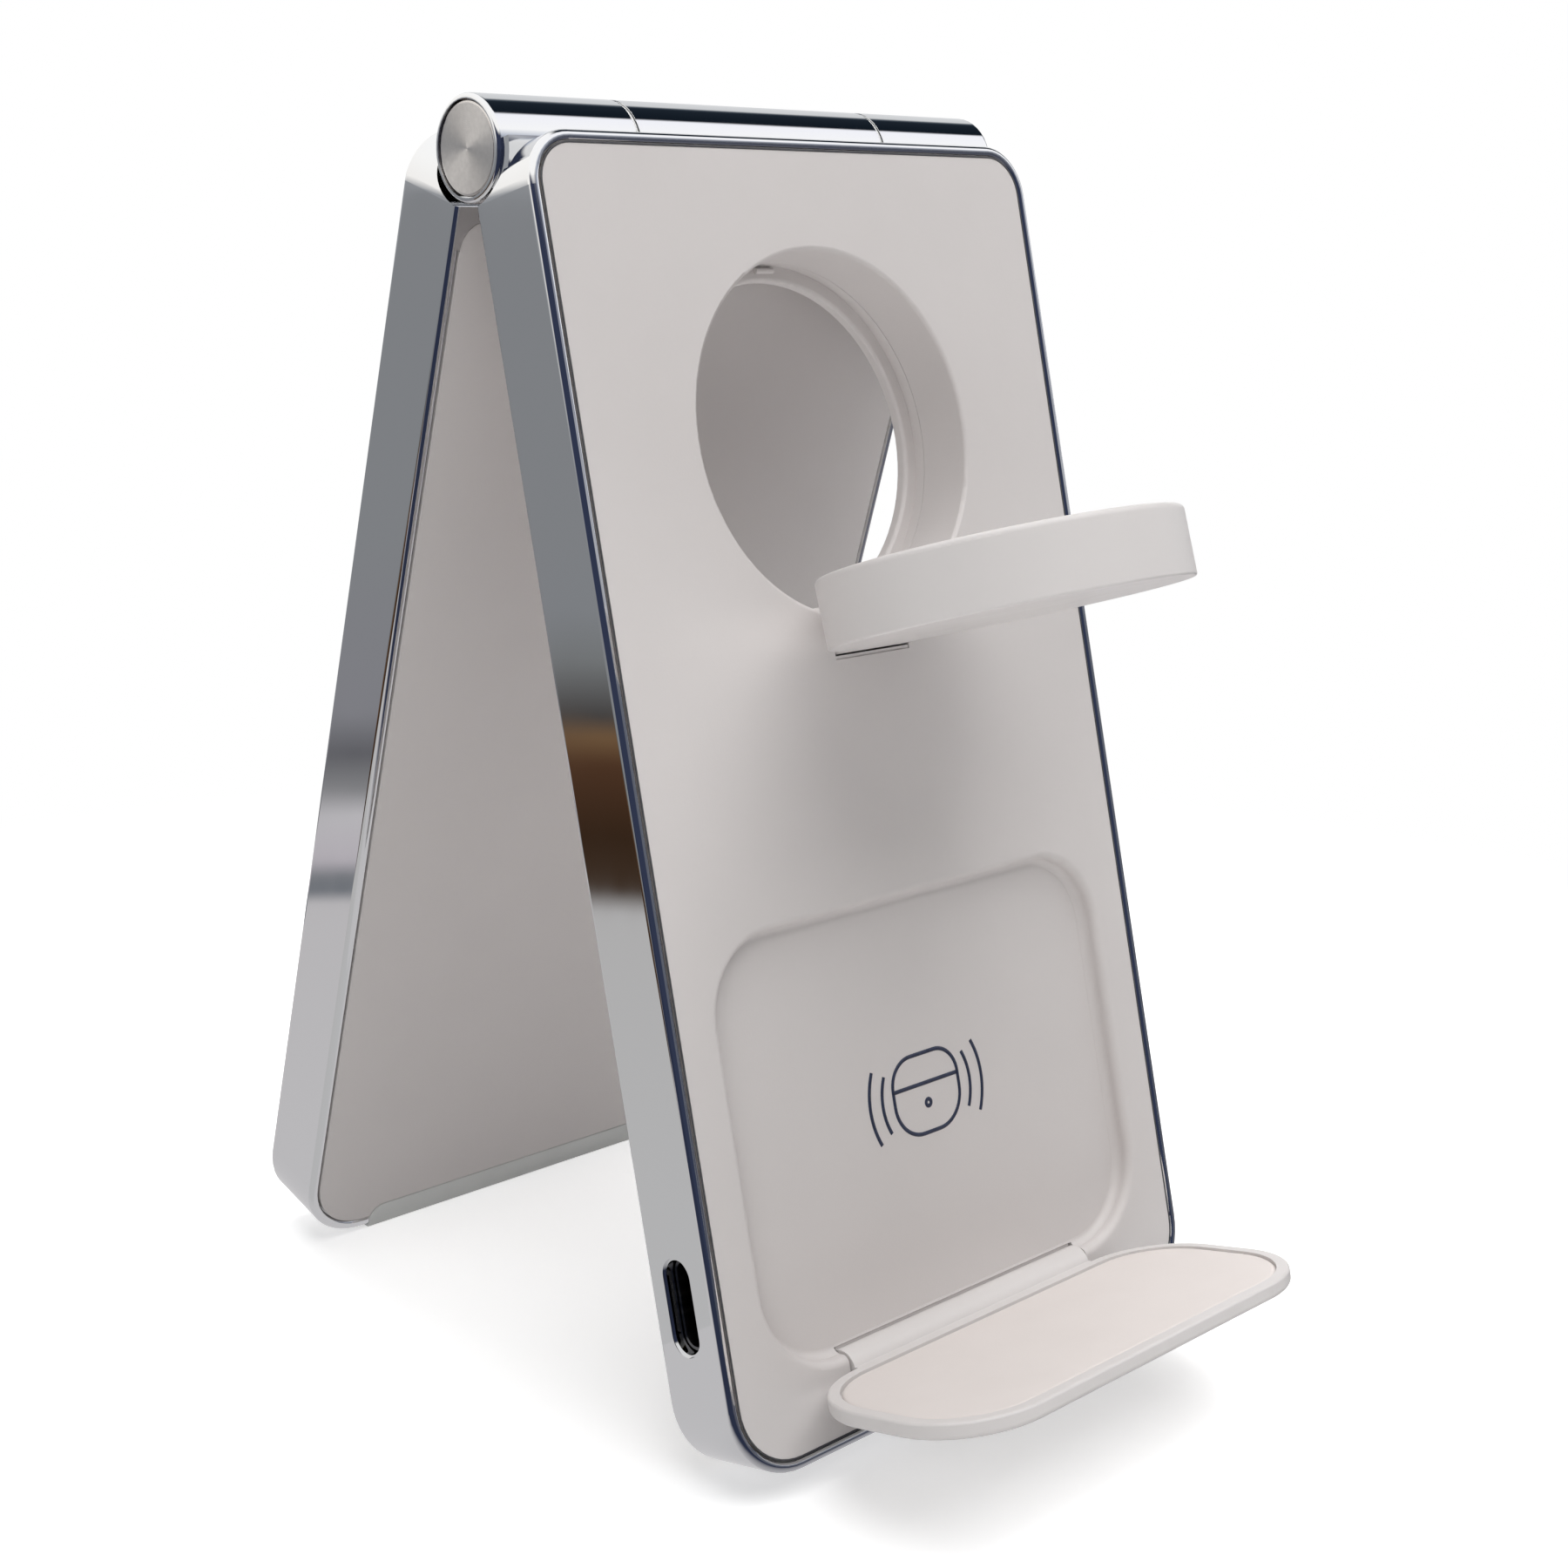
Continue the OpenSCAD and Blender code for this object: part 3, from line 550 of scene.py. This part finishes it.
def foot_strip(name, node, body):
    """The foot's own solid with its edges rounded, as moulded rubber has."""
    source = frame["nodes"][node]
    build = bmesh.new()
    build.from_mesh(source.data)
    bmesh.ops.remove_doubles(build, verts=build.verts, dist=FOOT_JOIN)
    bmesh.ops.dissolve_limit(
        build,
        angle_limit=math.radians(FOOT_FLAT),
        verts=build.verts,
        edges=build.edges,
    )
    sharp = [
        edge
        for edge in build.edges
        if len(edge.link_faces) == 2
        and edge.calc_face_angle() > math.radians(FOOT_SHARP)
    ]
    bmesh.ops.bevel(
        build,
        geom=sharp,
        offset=FOOT_ROUND * MM,
        segments=3,
        profile=0.5,
        affect="EDGES",
        clamp_overlap=True,
    )
    mesh = bpy.data.meshes.new(name)
    build.to_mesh(mesh)
    build.free()
    new_piece(name, shaded(mesh, 50), body, "foot_grey", replaces=(node,))


foot_strip("front_foot_strip", "front_foot", "front_leg")
foot_strip("rear_foot_strip", "rear_foot", "rear_leg")


# Pieces made by geometry nodes


class Recipe:
    """A tree of geometry nodes with named sizes, run once into a plain mesh."""

    def __init__(self, name, **sizes):
        self.tree = bpy.data.node_groups.new(name, "GeometryNodeTree")
        face = self.tree.interface
        face.new_socket("Geometry", in_out="INPUT", socket_type="NodeSocketGeometry")
        face.new_socket("Geometry", in_out="OUTPUT", socket_type="NodeSocketGeometry")
        self.sizes = {}
        for key, value in sizes.items():
            kind = "NodeSocketInt" if isinstance(value, int) else "NodeSocketFloat"
            if isinstance(value, tuple):
                kind = "NodeSocketVector"
            if isinstance(value, bpy.types.Material):
                kind = "NodeSocketMaterial"
            label = key.replace("_", " ")
            socket = face.new_socket(label, in_out="INPUT", socket_type=kind)
            self.sizes[label] = (socket.identifier, value)
        self.given = self.tree.nodes.new("NodeGroupInput")
        self.result = self.tree.nodes.new("NodeGroupOutput")

    def node(self, kind, settings=None, **inputs):
        """A node; each input is a value, a socket or the name of one of the sizes."""
        node = self.tree.nodes.new(kind)
        for key, value in (settings or {}).items():
            setattr(node, key, value)
        for key, value in inputs.items():
            self.feed(node, key.replace("_", " "), value)
        return node

    def feed(self, node, key, value):
        """Sets or links an input, which is given by its name or its number."""
        target = node.inputs[int(key)] if key.isdigit() else node.inputs[key]
        if isinstance(value, str) and value in self.sizes:
            value = self.given.outputs[value]
        if isinstance(value, bpy.types.Node):
            value = value.outputs[0]
        if isinstance(value, bpy.types.NodeSocket):
            self.tree.links.new(value, target)
        else:
            target.default_value = value

    def math(self, operation, first, second):
        node = self.node("ShaderNodeMath", {"operation": operation})
        self.feed(node, "0", first)
        self.feed(node, "1", second)
        return node.outputs[0]

    def vector(self, x, y, z):
        return self.node("ShaderNodeCombineXYZ", X=x, Y=y, Z=z).outputs[0]

    def finish(self, geometry):
        """Ends the tree in plain geometry with the recipe's finish."""
        real = self.node("GeometryNodeRealizeInstances", Geometry=geometry)
        dressed = self.node("GeometryNodeSetMaterial", Geometry=real, Material="Finish")
        self.tree.links.new(dressed.outputs[0], self.result.inputs[0])

    def run(self, name, start=None, **changes):
        """Mesh of the recipe with some of its sizes changed, from a starting mesh."""
        carrier = bpy.data.objects.new(name, start or bpy.data.meshes.new(name))
        bpy.context.scene.collection.objects.link(carrier)
        modifier = carrier.modifiers.new("recipe", "NODES")
        modifier.node_group = self.tree
        for label, (identifier, value) in self.sizes.items():
            modifier[identifier] = changes.get(label.replace(" ", "_"), value)
        graph = bpy.context.evaluated_depsgraph_get()
        graph.update()
        mesh = bpy.data.meshes.new_from_object(
            carrier.evaluated_get(graph), depsgraph=graph
        )
        mesh.name = name
        carrier.modifiers.remove(modifier)
        bpy.data.objects.remove(carrier)
        return mesh


def coil_recipe():
    """Flat coil: wire wound in a spiral from the inner to the outer radius."""
    recipe = Recipe(
        "wound coil",
        Inner=8.1,
        Outer=18.0,
        Wire=0.86,
        Turns=10.0,
        Finish=FINISHES["copper"],
    )
    half = recipe.math("MULTIPLY", "Wire", 0.5)
    spiral = recipe.node(
        "GeometryNodeCurveSpiral",
        Resolution=72,
        Rotations="Turns",
        Start_Radius=recipe.math("ADD", "Inner", half),
        End_Radius=recipe.math("SUBTRACT", "Outer", half),
        Height=0.0,
    )
    ring = recipe.node("GeometryNodeCurvePrimitiveCircle", Resolution=8, Radius=half)
    wire = recipe.node(
        "GeometryNodeCurveToMesh", Curve=spiral, Profile_Curve=ring, Fill_Caps=True
    )
    smooth = recipe.node("GeometryNodeSetShadeSmooth", Geometry=wire)
    recipe.finish(smooth)
    return recipe


def magnets_recipe():
    """Ring of small block magnets that holds a phone in place."""
    recipe = Recipe(
        "magnet blocks",
        Count=36,
        Radius=24.1,
        Block=(4.0, 4.05, 1.8),
        Finish=FINISHES["magnet"],
    )
    ring = recipe.node(
        "GeometryNodeCurvePrimitiveCircle", Resolution="Count", Radius="Radius"
    )
    places = recipe.node("GeometryNodeCurveToPoints", {"mode": "EVALUATED"}, Curve=ring)
    block = recipe.node("GeometryNodeMeshCube", Size="Block")
    blocks = recipe.node(
        "GeometryNodeInstanceOnPoints",
        Points=places,
        Instance=block,
        Rotation=places.outputs["Rotation"],
    )
    recipe.finish(blocks)
    return recipe


def screws_recipe():
    """Cross-head screws on the points of the starting mesh, heads at the given level."""
    recipe = Recipe(
        "cross-head screws",
        Head_Radius=1.48,
        Head_Height=0.43,
        Shank_Radius=0.69,
        Shank_Length=3.4,
        Slot=(1.7, 0.36, 0.5),
        Finish=FINISHES["steel"],
    )
    half_head = recipe.math("MULTIPLY", "Head Height", 0.5)
    half_shank = recipe.math("MULTIPLY", "Shank Length", 0.5)
    head = recipe.node(
        "GeometryNodeMeshCylinder",
        Vertices=40,
        Radius="Head Radius",
        Depth="Head Height",
    )
    head = recipe.node(
        "GeometryNodeTransform",
        Geometry=head,
        Translation=recipe.vector(0, 0, half_head),
    )
    slot = recipe.node("GeometryNodeMeshCube", Size="Slot")
    across = recipe.node(
        "GeometryNodeTransform", Geometry=slot, Rotation=(0, 0, math.radians(90))
    )
    cut = recipe.node("GeometryNodeMeshBoolean", {"operation": "DIFFERENCE"})
    recipe.tree.links.new(head.outputs[0], cut.inputs["Mesh 1"])
    recipe.tree.links.new(slot.outputs[0], cut.inputs["Mesh 2"])
    recipe.tree.links.new(across.outputs[0], cut.inputs["Mesh 2"])
    shank = recipe.node(
        "GeometryNodeMeshCylinder",
        Vertices=28,
        Radius="Shank Radius",
        Depth="Shank Length",
    )
    lift = recipe.math("ADD", half_shank, "Head Height")
    shank = recipe.node(
        "GeometryNodeTransform", Geometry=shank, Translation=recipe.vector(0, 0, lift)
    )
    both = recipe.node("GeometryNodeJoinGeometry")
    recipe.tree.links.new(cut.outputs[0], both.inputs[0])
    recipe.tree.links.new(shank.outputs[0], both.inputs[0])
    screws = recipe.node(
        "GeometryNodeInstanceOnPoints", Points=recipe.given.outputs[0], Instance=both
    )
    recipe.finish(screws)
    return recipe


def contacts_recipe():
    """Row of flat contacts on both faces of the inlet's tongue."""
    recipe = Recipe(
        "socket contacts",
        Count=12,
        Pitch=0.5,
        Contact=(3.6, 0.28, 0.03),
        Level=0.352,
        Finish=CONTACT_GOLD,
    )
    spaces = recipe.math("SUBTRACT", "Count", 1.0)
    start = recipe.math("MULTIPLY", recipe.math("MULTIPLY", spaces, "Pitch"), -0.5)
    both = recipe.node("GeometryNodeJoinGeometry")
    for side in (-1.0, 1.0):
        level = recipe.math("MULTIPLY", "Level", side)
        row = recipe.node(
            "GeometryNodeMeshLine",
            Count="Count",
            Start_Location=recipe.vector(0, start, level),
            Offset=recipe.vector(0, "Pitch", 0),
        )
        contact = recipe.node("GeometryNodeMeshCube", Size="Contact")
        contacts = recipe.node(
            "GeometryNodeInstanceOnPoints", Points=row, Instance=contact
        )
        recipe.tree.links.new(contacts.outputs[0], both.inputs[0])
    recipe.finish(both)
    return recipe


def strips_recipe(label, width, height, finish, capped):
    """Strips of even width along the edges of the starting mesh, capped at open ends."""
    recipe = Recipe(label, Width=width, Height=height, Finish=finish)
    lines = recipe.node("GeometryNodeMeshToCurve", Mesh=recipe.given.outputs[0])
    upright = recipe.node("GeometryNodeSetCurveNormal", {"mode": "Z_UP"}, Curve=lines)
    section = recipe.node(
        "GeometryNodeCurvePrimitiveQuadrilateral", Width="Width", Height="Height"
    )
    strips = recipe.node(
        "GeometryNodeCurveToMesh", Curve=upright, Profile_Curve=section, Fill_Caps=capped
    )
    recipe.finish(strips)
    return recipe


def placed(mesh, matrix):
    """The mesh moved to its place, with its faces outwards."""
    mesh.transform(matrix)
    if matrix.determinant() < 0:
        mesh.flip_normals()
    return mesh


def points_mesh(name, points, edges=()):
    """Bare points, with or without edges between them."""
    mesh = bpy.data.meshes.new(name)
    mesh.from_pydata(points, edges, [])
    return mesh


def loop_mesh(name, outline, n):
    """Closed line of edges along an outline at a level n."""
    count = len(outline)
    points = [(u, v, n) for u, v in outline]
    return points_mesh(name, points, [(i, (i + 1) % count) for i in range(count)])


# Each winding takes the place of its coil's solid, with the wire's middle at v, n
coils = coil_recipe()
for name, node, body, place, v, n, sizes in (
    (
        "earbud_winding",
        "earbud_coil",
        "front_leg",
        FRONT_LEG,
        EARBUD_V,
        5.39,
        {"Inner": 8.1, "Outer": 18.0, "Turns": 10.0},
    ),
    (
        "watch_winding",
        "disc_coil",
        "watch_disc",
        OPEN_DISC,
        WATCH_V,
        3.39,
        {"Inner": 6.3, "Outer": 12.5, "Turns": 6.0},
    ),
    (
        "phone_winding",
        "phone_coil",
        "rear_leg",
        REAR_LEG,
        PHONE_V,
        6.95,
        {"Inner": 8.9, "Outer": 21.0, "Turns": 12.0},
    ),
):
    winding = placed(coils.run(name, **sizes), place @ Matrix.Translation((0, v, n)))
    new_piece(name, winding, body, "copper", replaces=(node,))

MAGNETS_N = 6.5
blocks = magnets_recipe().run("magnet_blocks")
new_piece(
    "magnet_blocks",
    placed(blocks, REAR_LEG @ Matrix.Translation((0, PHONE_V, MAGNETS_N))),
    "rear_leg",
    "magnet",
    replaces=("magnet_ring",),
)

# Screws as (u, v), the levels n of their heads' undersides and of their ends, and how far
# a head reaches inwards from its underside
SCREW_SPOTS = {
    "front": [(-28.6, 59.9), (28.6, 59.9), (-24.2, 123.4), (24.2, 123.4)],
    "rear": [(-28.6, 13.0), (28.6, 13.0), (-24.2, 123.4), (24.2, 123.4)],
}
SCREW_HEAD_N = {"front": 1.88, "rear": 2.73}
SCREW_END_N, SCREW_HEAD = 6.24, 0.44
screws = screws_recipe()
for leg, place in (("front", FRONT_LEG), ("rear", REAR_LEG)):
    name, head_n = leg + "_screw_set", SCREW_HEAD_N[leg]
    spots = [(u, v, head_n - SCREW_HEAD) for u, v in SCREW_SPOTS[leg]]
    made = screws.run(
        name, points_mesh("spots", spots), Shank_Length=SCREW_END_N - head_n
    )
    new_piece(
        name, placed(made, place), leg + "_leg", "steel", replaces=(leg + "_screws",)
    )

INLET = (-29.9, 110.6, 4.3)
contacts = contacts_recipe().run("inlet_contacts")
new_piece(
    "inlet_contacts",
    placed(contacts, FRONT_LEG @ Matrix.Translation(INLET)),
    "front_leg",
    "tongue_black",
)

# Middle of the gap between a cover and its frame, and the level of the dark strip in it
# that paints the gap's shade
COVER_GAP = plan_outline(65.5, 1.55, 127.15, 3.95, 6.75)
GAP_STRIP_N = 8.95
# Dark strips along the gaps, painted shade where the covers meet their frames
gap_strips = strips_recipe("painted gap shade strips", 0.2, 0.05, PAINTED_GAP_SHADE, False)
for leg, place in (("front", FRONT_LEG), ("rear", REAR_LEG)):
    name = leg + "_gap_shade_strip"
    ring = gap_strips.run(name, loop_mesh("outline", COVER_GAP, GAP_STRIP_N))
    new_piece(name, placed(ring, place), leg + "_leg", "white_cover")


def mark_lines():
    """Charging mark: a small case with its lid line, and waves on both sides of it."""
    points, edges = [], []

    def line(path, closed=False):
        """Adds a line through the points of a path."""
        first = len(points)
        points.extend((u, v, 0) for u, v in path)
        edges.extend((first + i, first + i + 1) for i in range(len(path) - 1))
        if closed:
            edges.append((first + len(path) - 1, first))

    def arc(u, v, radius, start, end, steps):
        """Points along part of a circle, between two angles in degrees."""
        turns = [
            math.radians(start + (end - start) * i / steps) for i in range(steps + 1)
        ]
        return [(u + radius * math.cos(t), v + radius * math.sin(t)) for t in turns]

    line(plan_outline(9.6, -4.1, 4.1, 3.0, 3.6), closed=True)
    line([(-4.8, -1.0), (4.8, -1.0)])
    line(arc(0, 1.1, 0.36, 0, 345, 15), closed=True)
    for radius in (6.5, 8.3):
        line(arc(0, 0, radius, -27, 27, 14))
        line(arc(0, 0, radius, 153, 207, 14))
    return points_mesh("mark_lines", points, edges)


MARK_PLACE = (0, 98.0, 6.945)
strokes = strips_recipe("printed strokes", 0.42, 0.03, MARK_INK, True)
mark = strokes.run("charging_mark", mark_lines())
new_piece(
    "charging_mark",
    placed(mark, FRONT_LEG @ Matrix.Translation(MARK_PLACE)),
    "front_leg",
    "white_cover",
    finish=MARK_INK,
)


# Studio

# The camera, fitted to the photograph: its lens in millimetres, its place from the hinge
# in metres and the directions of its right and upper sides
LENS, SENSOR = 53.385, 36
CAMERA_FROM_HINGE = Vector((-0.16665, -0.18344, -0.00198))
CAMERA_RIGHT = Vector((0.72596264, -0.68724287, 0.02599013))
CAMERA_UP = Vector((0.15488543, 0.20019823, 0.96743536))


def add_camera():
    """Camera where the photograph was taken from."""
    data = bpy.data.cameras.new("camera")
    data.sensor_width = SENSOR
    data.lens = LENS
    data.clip_start = 0.005
    camera = bpy.data.objects.new("camera", data)
    bpy.context.scene.collection.objects.link(camera)
    sides = (CAMERA_RIGHT, CAMERA_UP, CAMERA_RIGHT.cross(CAMERA_UP))
    turned = Matrix(sides).transposed().to_4x4()
    camera.matrix_world = Matrix.Translation(HINGE + CAMERA_FROM_HINGE) @ turned
    bpy.context.scene.camera = camera


def add_lamp(name, place, aim, size, power):
    """Square soft lamp that lights surfaces but isn't seen in polished metal."""
    data = bpy.data.lights.new(name, "AREA")
    data.size = size
    data.energy = power
    lamp = bpy.data.objects.new(name, data)
    bpy.context.scene.collection.objects.link(lamp)
    lamp.location = place
    towards = Vector(aim) - Vector(place)
    lamp.rotation_euler = towards.to_track_quat("-Z", "Y").to_euler()
    lamp.visible_glossy = False


def calculated(tree, operation, *values):
    """Result of a calculation with one or two values."""
    node = add(tree, "ShaderNodeMath", operation=operation)
    for value, socket in zip(values, node.inputs):
        tree.links.new(value, socket)
    return node.outputs[0]


def light_path(tree, *rays):
    """1 for the named kinds of ray and 0 for the others."""
    path = add(tree, "ShaderNodeLightPath")
    total = path.outputs[rays[0]]
    for ray in rays[1:]:
        total = calculated(tree, "MAXIMUM", total, path.outputs[ray])
    return total


def angle_of(tree, across, along):
    """Angle in degrees of a direction from its two parts."""
    return calculated(tree, "DEGREES", calculated(tree, "ARCTAN2", across, along))


def tones(tree, value, stops, low, high):
    """Shades along a value that runs from low to high."""
    scale = add(tree, "ShaderNodeValToRGB")
    tree.links.new(ramp(tree, value, 0, 1, low, high), scale.inputs["Fac"])
    while len(scale.color_ramp.elements) < len(stops):
        scale.color_ramp.elements.new(0.5)
    for element, (place, shade) in zip(scale.color_ramp.elements, stops):
        element.position = (place - low) / (high - low)
        element.color = (*shade, 1)
    return scale.outputs["Color"]


def mixed(tree, share, first, second):
    """Colour that turns from the first, a socket, to the second, a socket or a shade."""
    mix = add(tree, "ShaderNodeMix", data_type="RGBA")
    tree.links.new(share, mix.inputs["Factor"])
    tree.links.new(first, mix.inputs["A"])
    if isinstance(second, tuple):
        mix.inputs["B"].default_value = (*second, 1)
    else:
        tree.links.new(second, mix.inputs["B"])
    return mix.outputs["Result"]


def either(tree, share, first, second):
    """Shader that turns from the first to the second with a share."""
    node = add(tree, "ShaderNodeMixShader")
    tree.links.new(share, node.inputs[0])
    tree.links.new(first.outputs[0], node.inputs[1])
    tree.links.new(second.outputs[0], node.inputs[2])
    return node


# Shade of the room by the height of a direction, from straight down to straight up
ROOM_TONES = [
    (-1.0, (0.60, 0.60, 0.60)),
    (-0.10, (0.29, 0.30, 0.315)),
    (0.04, (0.30, 0.31, 0.325)),
    (0.14, (0.95, 0.93, 0.90)),
    (0.60, (1.0, 0.99, 0.97)),
    (1.0, (1.0, 1.0, 1.0)),
]
# Shade of the room's right-hand part, by the angle in degrees around the hinge's line,
# from the back wall over the ceiling to the front
RIGHT_TONES = [
    (0, (0.60, 0.61, 0.62)),
    (50, (0.62, 0.63, 0.64)),
    (57, (0.060, 0.075, 0.095)),
    (63, (0.012, 0.018, 0.027)),
    (97, (0.006, 0.010, 0.016)),
    (102, (0.95, 0.95, 1.0)),
    (137, (1.0, 1.0, 1.0)),
    (147, (0.50, 0.54, 0.62)),
    (153, (0.22, 0.23, 0.28)),
    (161, (0.44, 0.45, 0.48)),
    (166, (0.12, 0.13, 0.16)),
    (180, (0.10, 0.11, 0.14)),
]

# Shade of the room where the camera stands, and the heights and Y parts of a direction
# between which it ends; then the X parts between which the right-hand part begins
FRONT_SHADE = (0.032, 0.040, 0.075)
FRONT_TOP = (0.42, 0.60)
FRONT_BACK = (-0.10, 0.25)
RIGHT_START = (0.25, 0.45)
# Strength of the room in polished metal, and strength and colour of the light all around
ROOM_STRENGTH = 1.3
SKY = 0.03
SKY_COLOUR = (0.94, 1.0, 0.99, 1)


def add_world():
    """White for the camera; polished metal sees a pale room, dark where it stands."""
    world = bpy.data.worlds.new("studio")
    bpy.context.scene.world = world
    world.use_nodes = True
    tree = world.node_tree
    tree.nodes.clear()
    out = add(tree, "ShaderNodeOutputWorld")
    coords = add(tree, "ShaderNodeTexCoord")
    split = add(tree, "ShaderNodeSeparateXYZ")
    tree.links.new(coords.outputs["Generated"], split.inputs[0])
    x, y, z = split.outputs
    low = ramp(tree, z, 1, 0, *FRONT_TOP, soft=True)
    near = ramp(tree, y, 1, 0, *FRONT_BACK, soft=True)
    front = calculated(tree, "MULTIPLY", low, near)
    room = mixed(tree, front, tones(tree, z, ROOM_TONES, -1, 1), FRONT_SHADE)
    right = tones(tree, angle_of(tree, z, y), RIGHT_TONES, 0, 180)
    room = mixed(tree, ramp(tree, x, 0, 1, *RIGHT_START, soft=True), room, right)
    white, sky, mirrored = (add(tree, "ShaderNodeBackground") for _ in range(3))
    white.inputs["Color"].default_value = (1, 1, 1, 1)
    sky.inputs["Color"].default_value = SKY_COLOUR
    sky.inputs["Strength"].default_value = SKY
    mirrored.inputs["Strength"].default_value = ROOM_STRENGTH
    tree.links.new(room, mirrored.inputs["Color"])
    lit = either(tree, light_path(tree, "Is Glossy Ray"), sky, mirrored)
    seen = light_path(tree, "Is Camera Ray", "Is Transmission Ray")
    tree.links.new(either(tree, seen, lit, white).outputs[0], out.inputs["Surface"])


# Shade of the table in polished metal, by the distance from the station in metres:
# first towards the left, where a wooden board lies, and then straight behind
TABLE_TONES = [
    (0.0, (0.64, 0.64, 0.645)),
    (0.188, (0.60, 0.59, 0.585)),
    (0.200, (0.060, 0.036, 0.022)),
    (0.235, (0.046, 0.024, 0.013)),
    (0.290, (0.095, 0.045, 0.024)),
    (0.315, (0.215, 0.125, 0.062)),
    (0.335, (0.075, 0.070, 0.068)),
    (0.400, (0.235, 0.245, 0.250)),
    (0.470, (0.285, 0.298, 0.315)),
    (0.6, (0.29, 0.30, 0.315)),
]
BACK_TABLE_TONES = [
    (0.0, (0.70, 0.69, 0.70)),
    (0.190, (0.66, 0.64, 0.65)),
    (0.197, (0.20, 0.215, 0.24)),
    (0.206, (0.24, 0.25, 0.27)),
    (0.216, (0.62, 0.58, 0.62)),
    (0.247, (0.66, 0.64, 0.66)),
    (0.266, (0.30, 0.30, 0.31)),
    (0.297, (0.15, 0.15, 0.165)),
    (0.335, (0.29, 0.29, 0.315)),
    (0.6, (0.29, 0.30, 0.315)),
]


# Distances in metres up to which those shades run and between which the table turns
# pure white, and the table's own glow
TABLE_REACH = 0.6
TABLE_FADE = (0.10, 0.24)
GLOW = 0.42
# Directions on the table in degrees between which the shades behind turn into those on
# the left, and places between which the dark front begins
LEFT_START = (128.5, 132.5)
FRONT_TABLE_X = (-0.01, 0.05)
FRONT_TABLE_Y = (-0.05, -0.02)


def add_floor():
    """Pale table that keeps the shadow and is pure white further away."""
    bpy.ops.mesh.primitive_plane_add(size=24, location=(0, 0, 0))
    floor = bpy.context.object
    floor.name = "table"
    material = bpy.data.materials.new("table")
    material.use_nodes = True
    tree = material.node_tree
    tree.nodes.clear()
    out = add(tree, "ShaderNodeOutputMaterial")
    coords = add(tree, "ShaderNodeTexCoord").outputs["Object"]
    away = add(tree, "ShaderNodeVectorMath", operation="LENGTH")
    tree.links.new(coords, away.inputs[0])
    distance = away.outputs["Value"]
    split = add(tree, "ShaderNodeSeparateXYZ")
    tree.links.new(coords, split.inputs[0])
    x, y = split.outputs["X"], split.outputs["Y"]

    matt = add(tree, "ShaderNodeBsdfDiffuse")
    matt.inputs["Color"].default_value = (0.92, 0.92, 0.92, 1)
    glow, white, mirrored = (add(tree, "ShaderNodeEmission") for _ in range(3))
    glow.inputs["Strength"].default_value = GLOW
    bright = add(tree, "ShaderNodeAddShader")
    tree.links.new(matt.outputs[0], bright.inputs[0])
    tree.links.new(glow.outputs[0], bright.inputs[1])
    fade = ramp(tree, distance, 0, 1, *TABLE_FADE, soft=True)
    seen = light_path(tree, "Is Camera Ray", "Is Transmission Ray")
    plain = either(tree, seen, matt, either(tree, fade, bright, white))

    left = tones(tree, distance, TABLE_TONES, 0, TABLE_REACH)
    behind = tones(tree, distance, BACK_TABLE_TONES, 0, TABLE_REACH)
    turn = ramp(tree, angle_of(tree, y, x), 0, 1, *LEFT_START, soft=True)
    side = ramp(tree, x, 1, 0.78, *FRONT_TABLE_X, soft=True)
    facing = ramp(tree, y, 1, 0, *FRONT_TABLE_Y, soft=True)
    front = calculated(tree, "MULTIPLY", side, facing)
    shade = mixed(tree, front, mixed(tree, turn, behind, left), FRONT_SHADE)
    tree.links.new(shade, mirrored.inputs["Color"])
    last = either(tree, light_path(tree, "Is Glossy Ray"), plain, mirrored)
    tree.links.new(last.outputs[0], out.inputs["Surface"])
    floor.data.materials.append(material)


add_camera()
add_world()
add_floor()
add_lamp("overhead", (-0.05, -0.40, 1.25), (0, 0, 0.05), 1.2, 14.0)
add_lamp("right", (0.55, 0.10, 1.15), (0, 0, 0.05), 1.0, 7.0)
add_lamp("left", (-1.08, -0.66, 0.62), (0, 0, 0.06), 0.7, 4.0)
add_lamp("behind", (0.25, 0.95, 0.80), (0, 0, 0.06), 0.9, 6.5)
bpy.context.scene.view_settings.view_transform = "Standard"
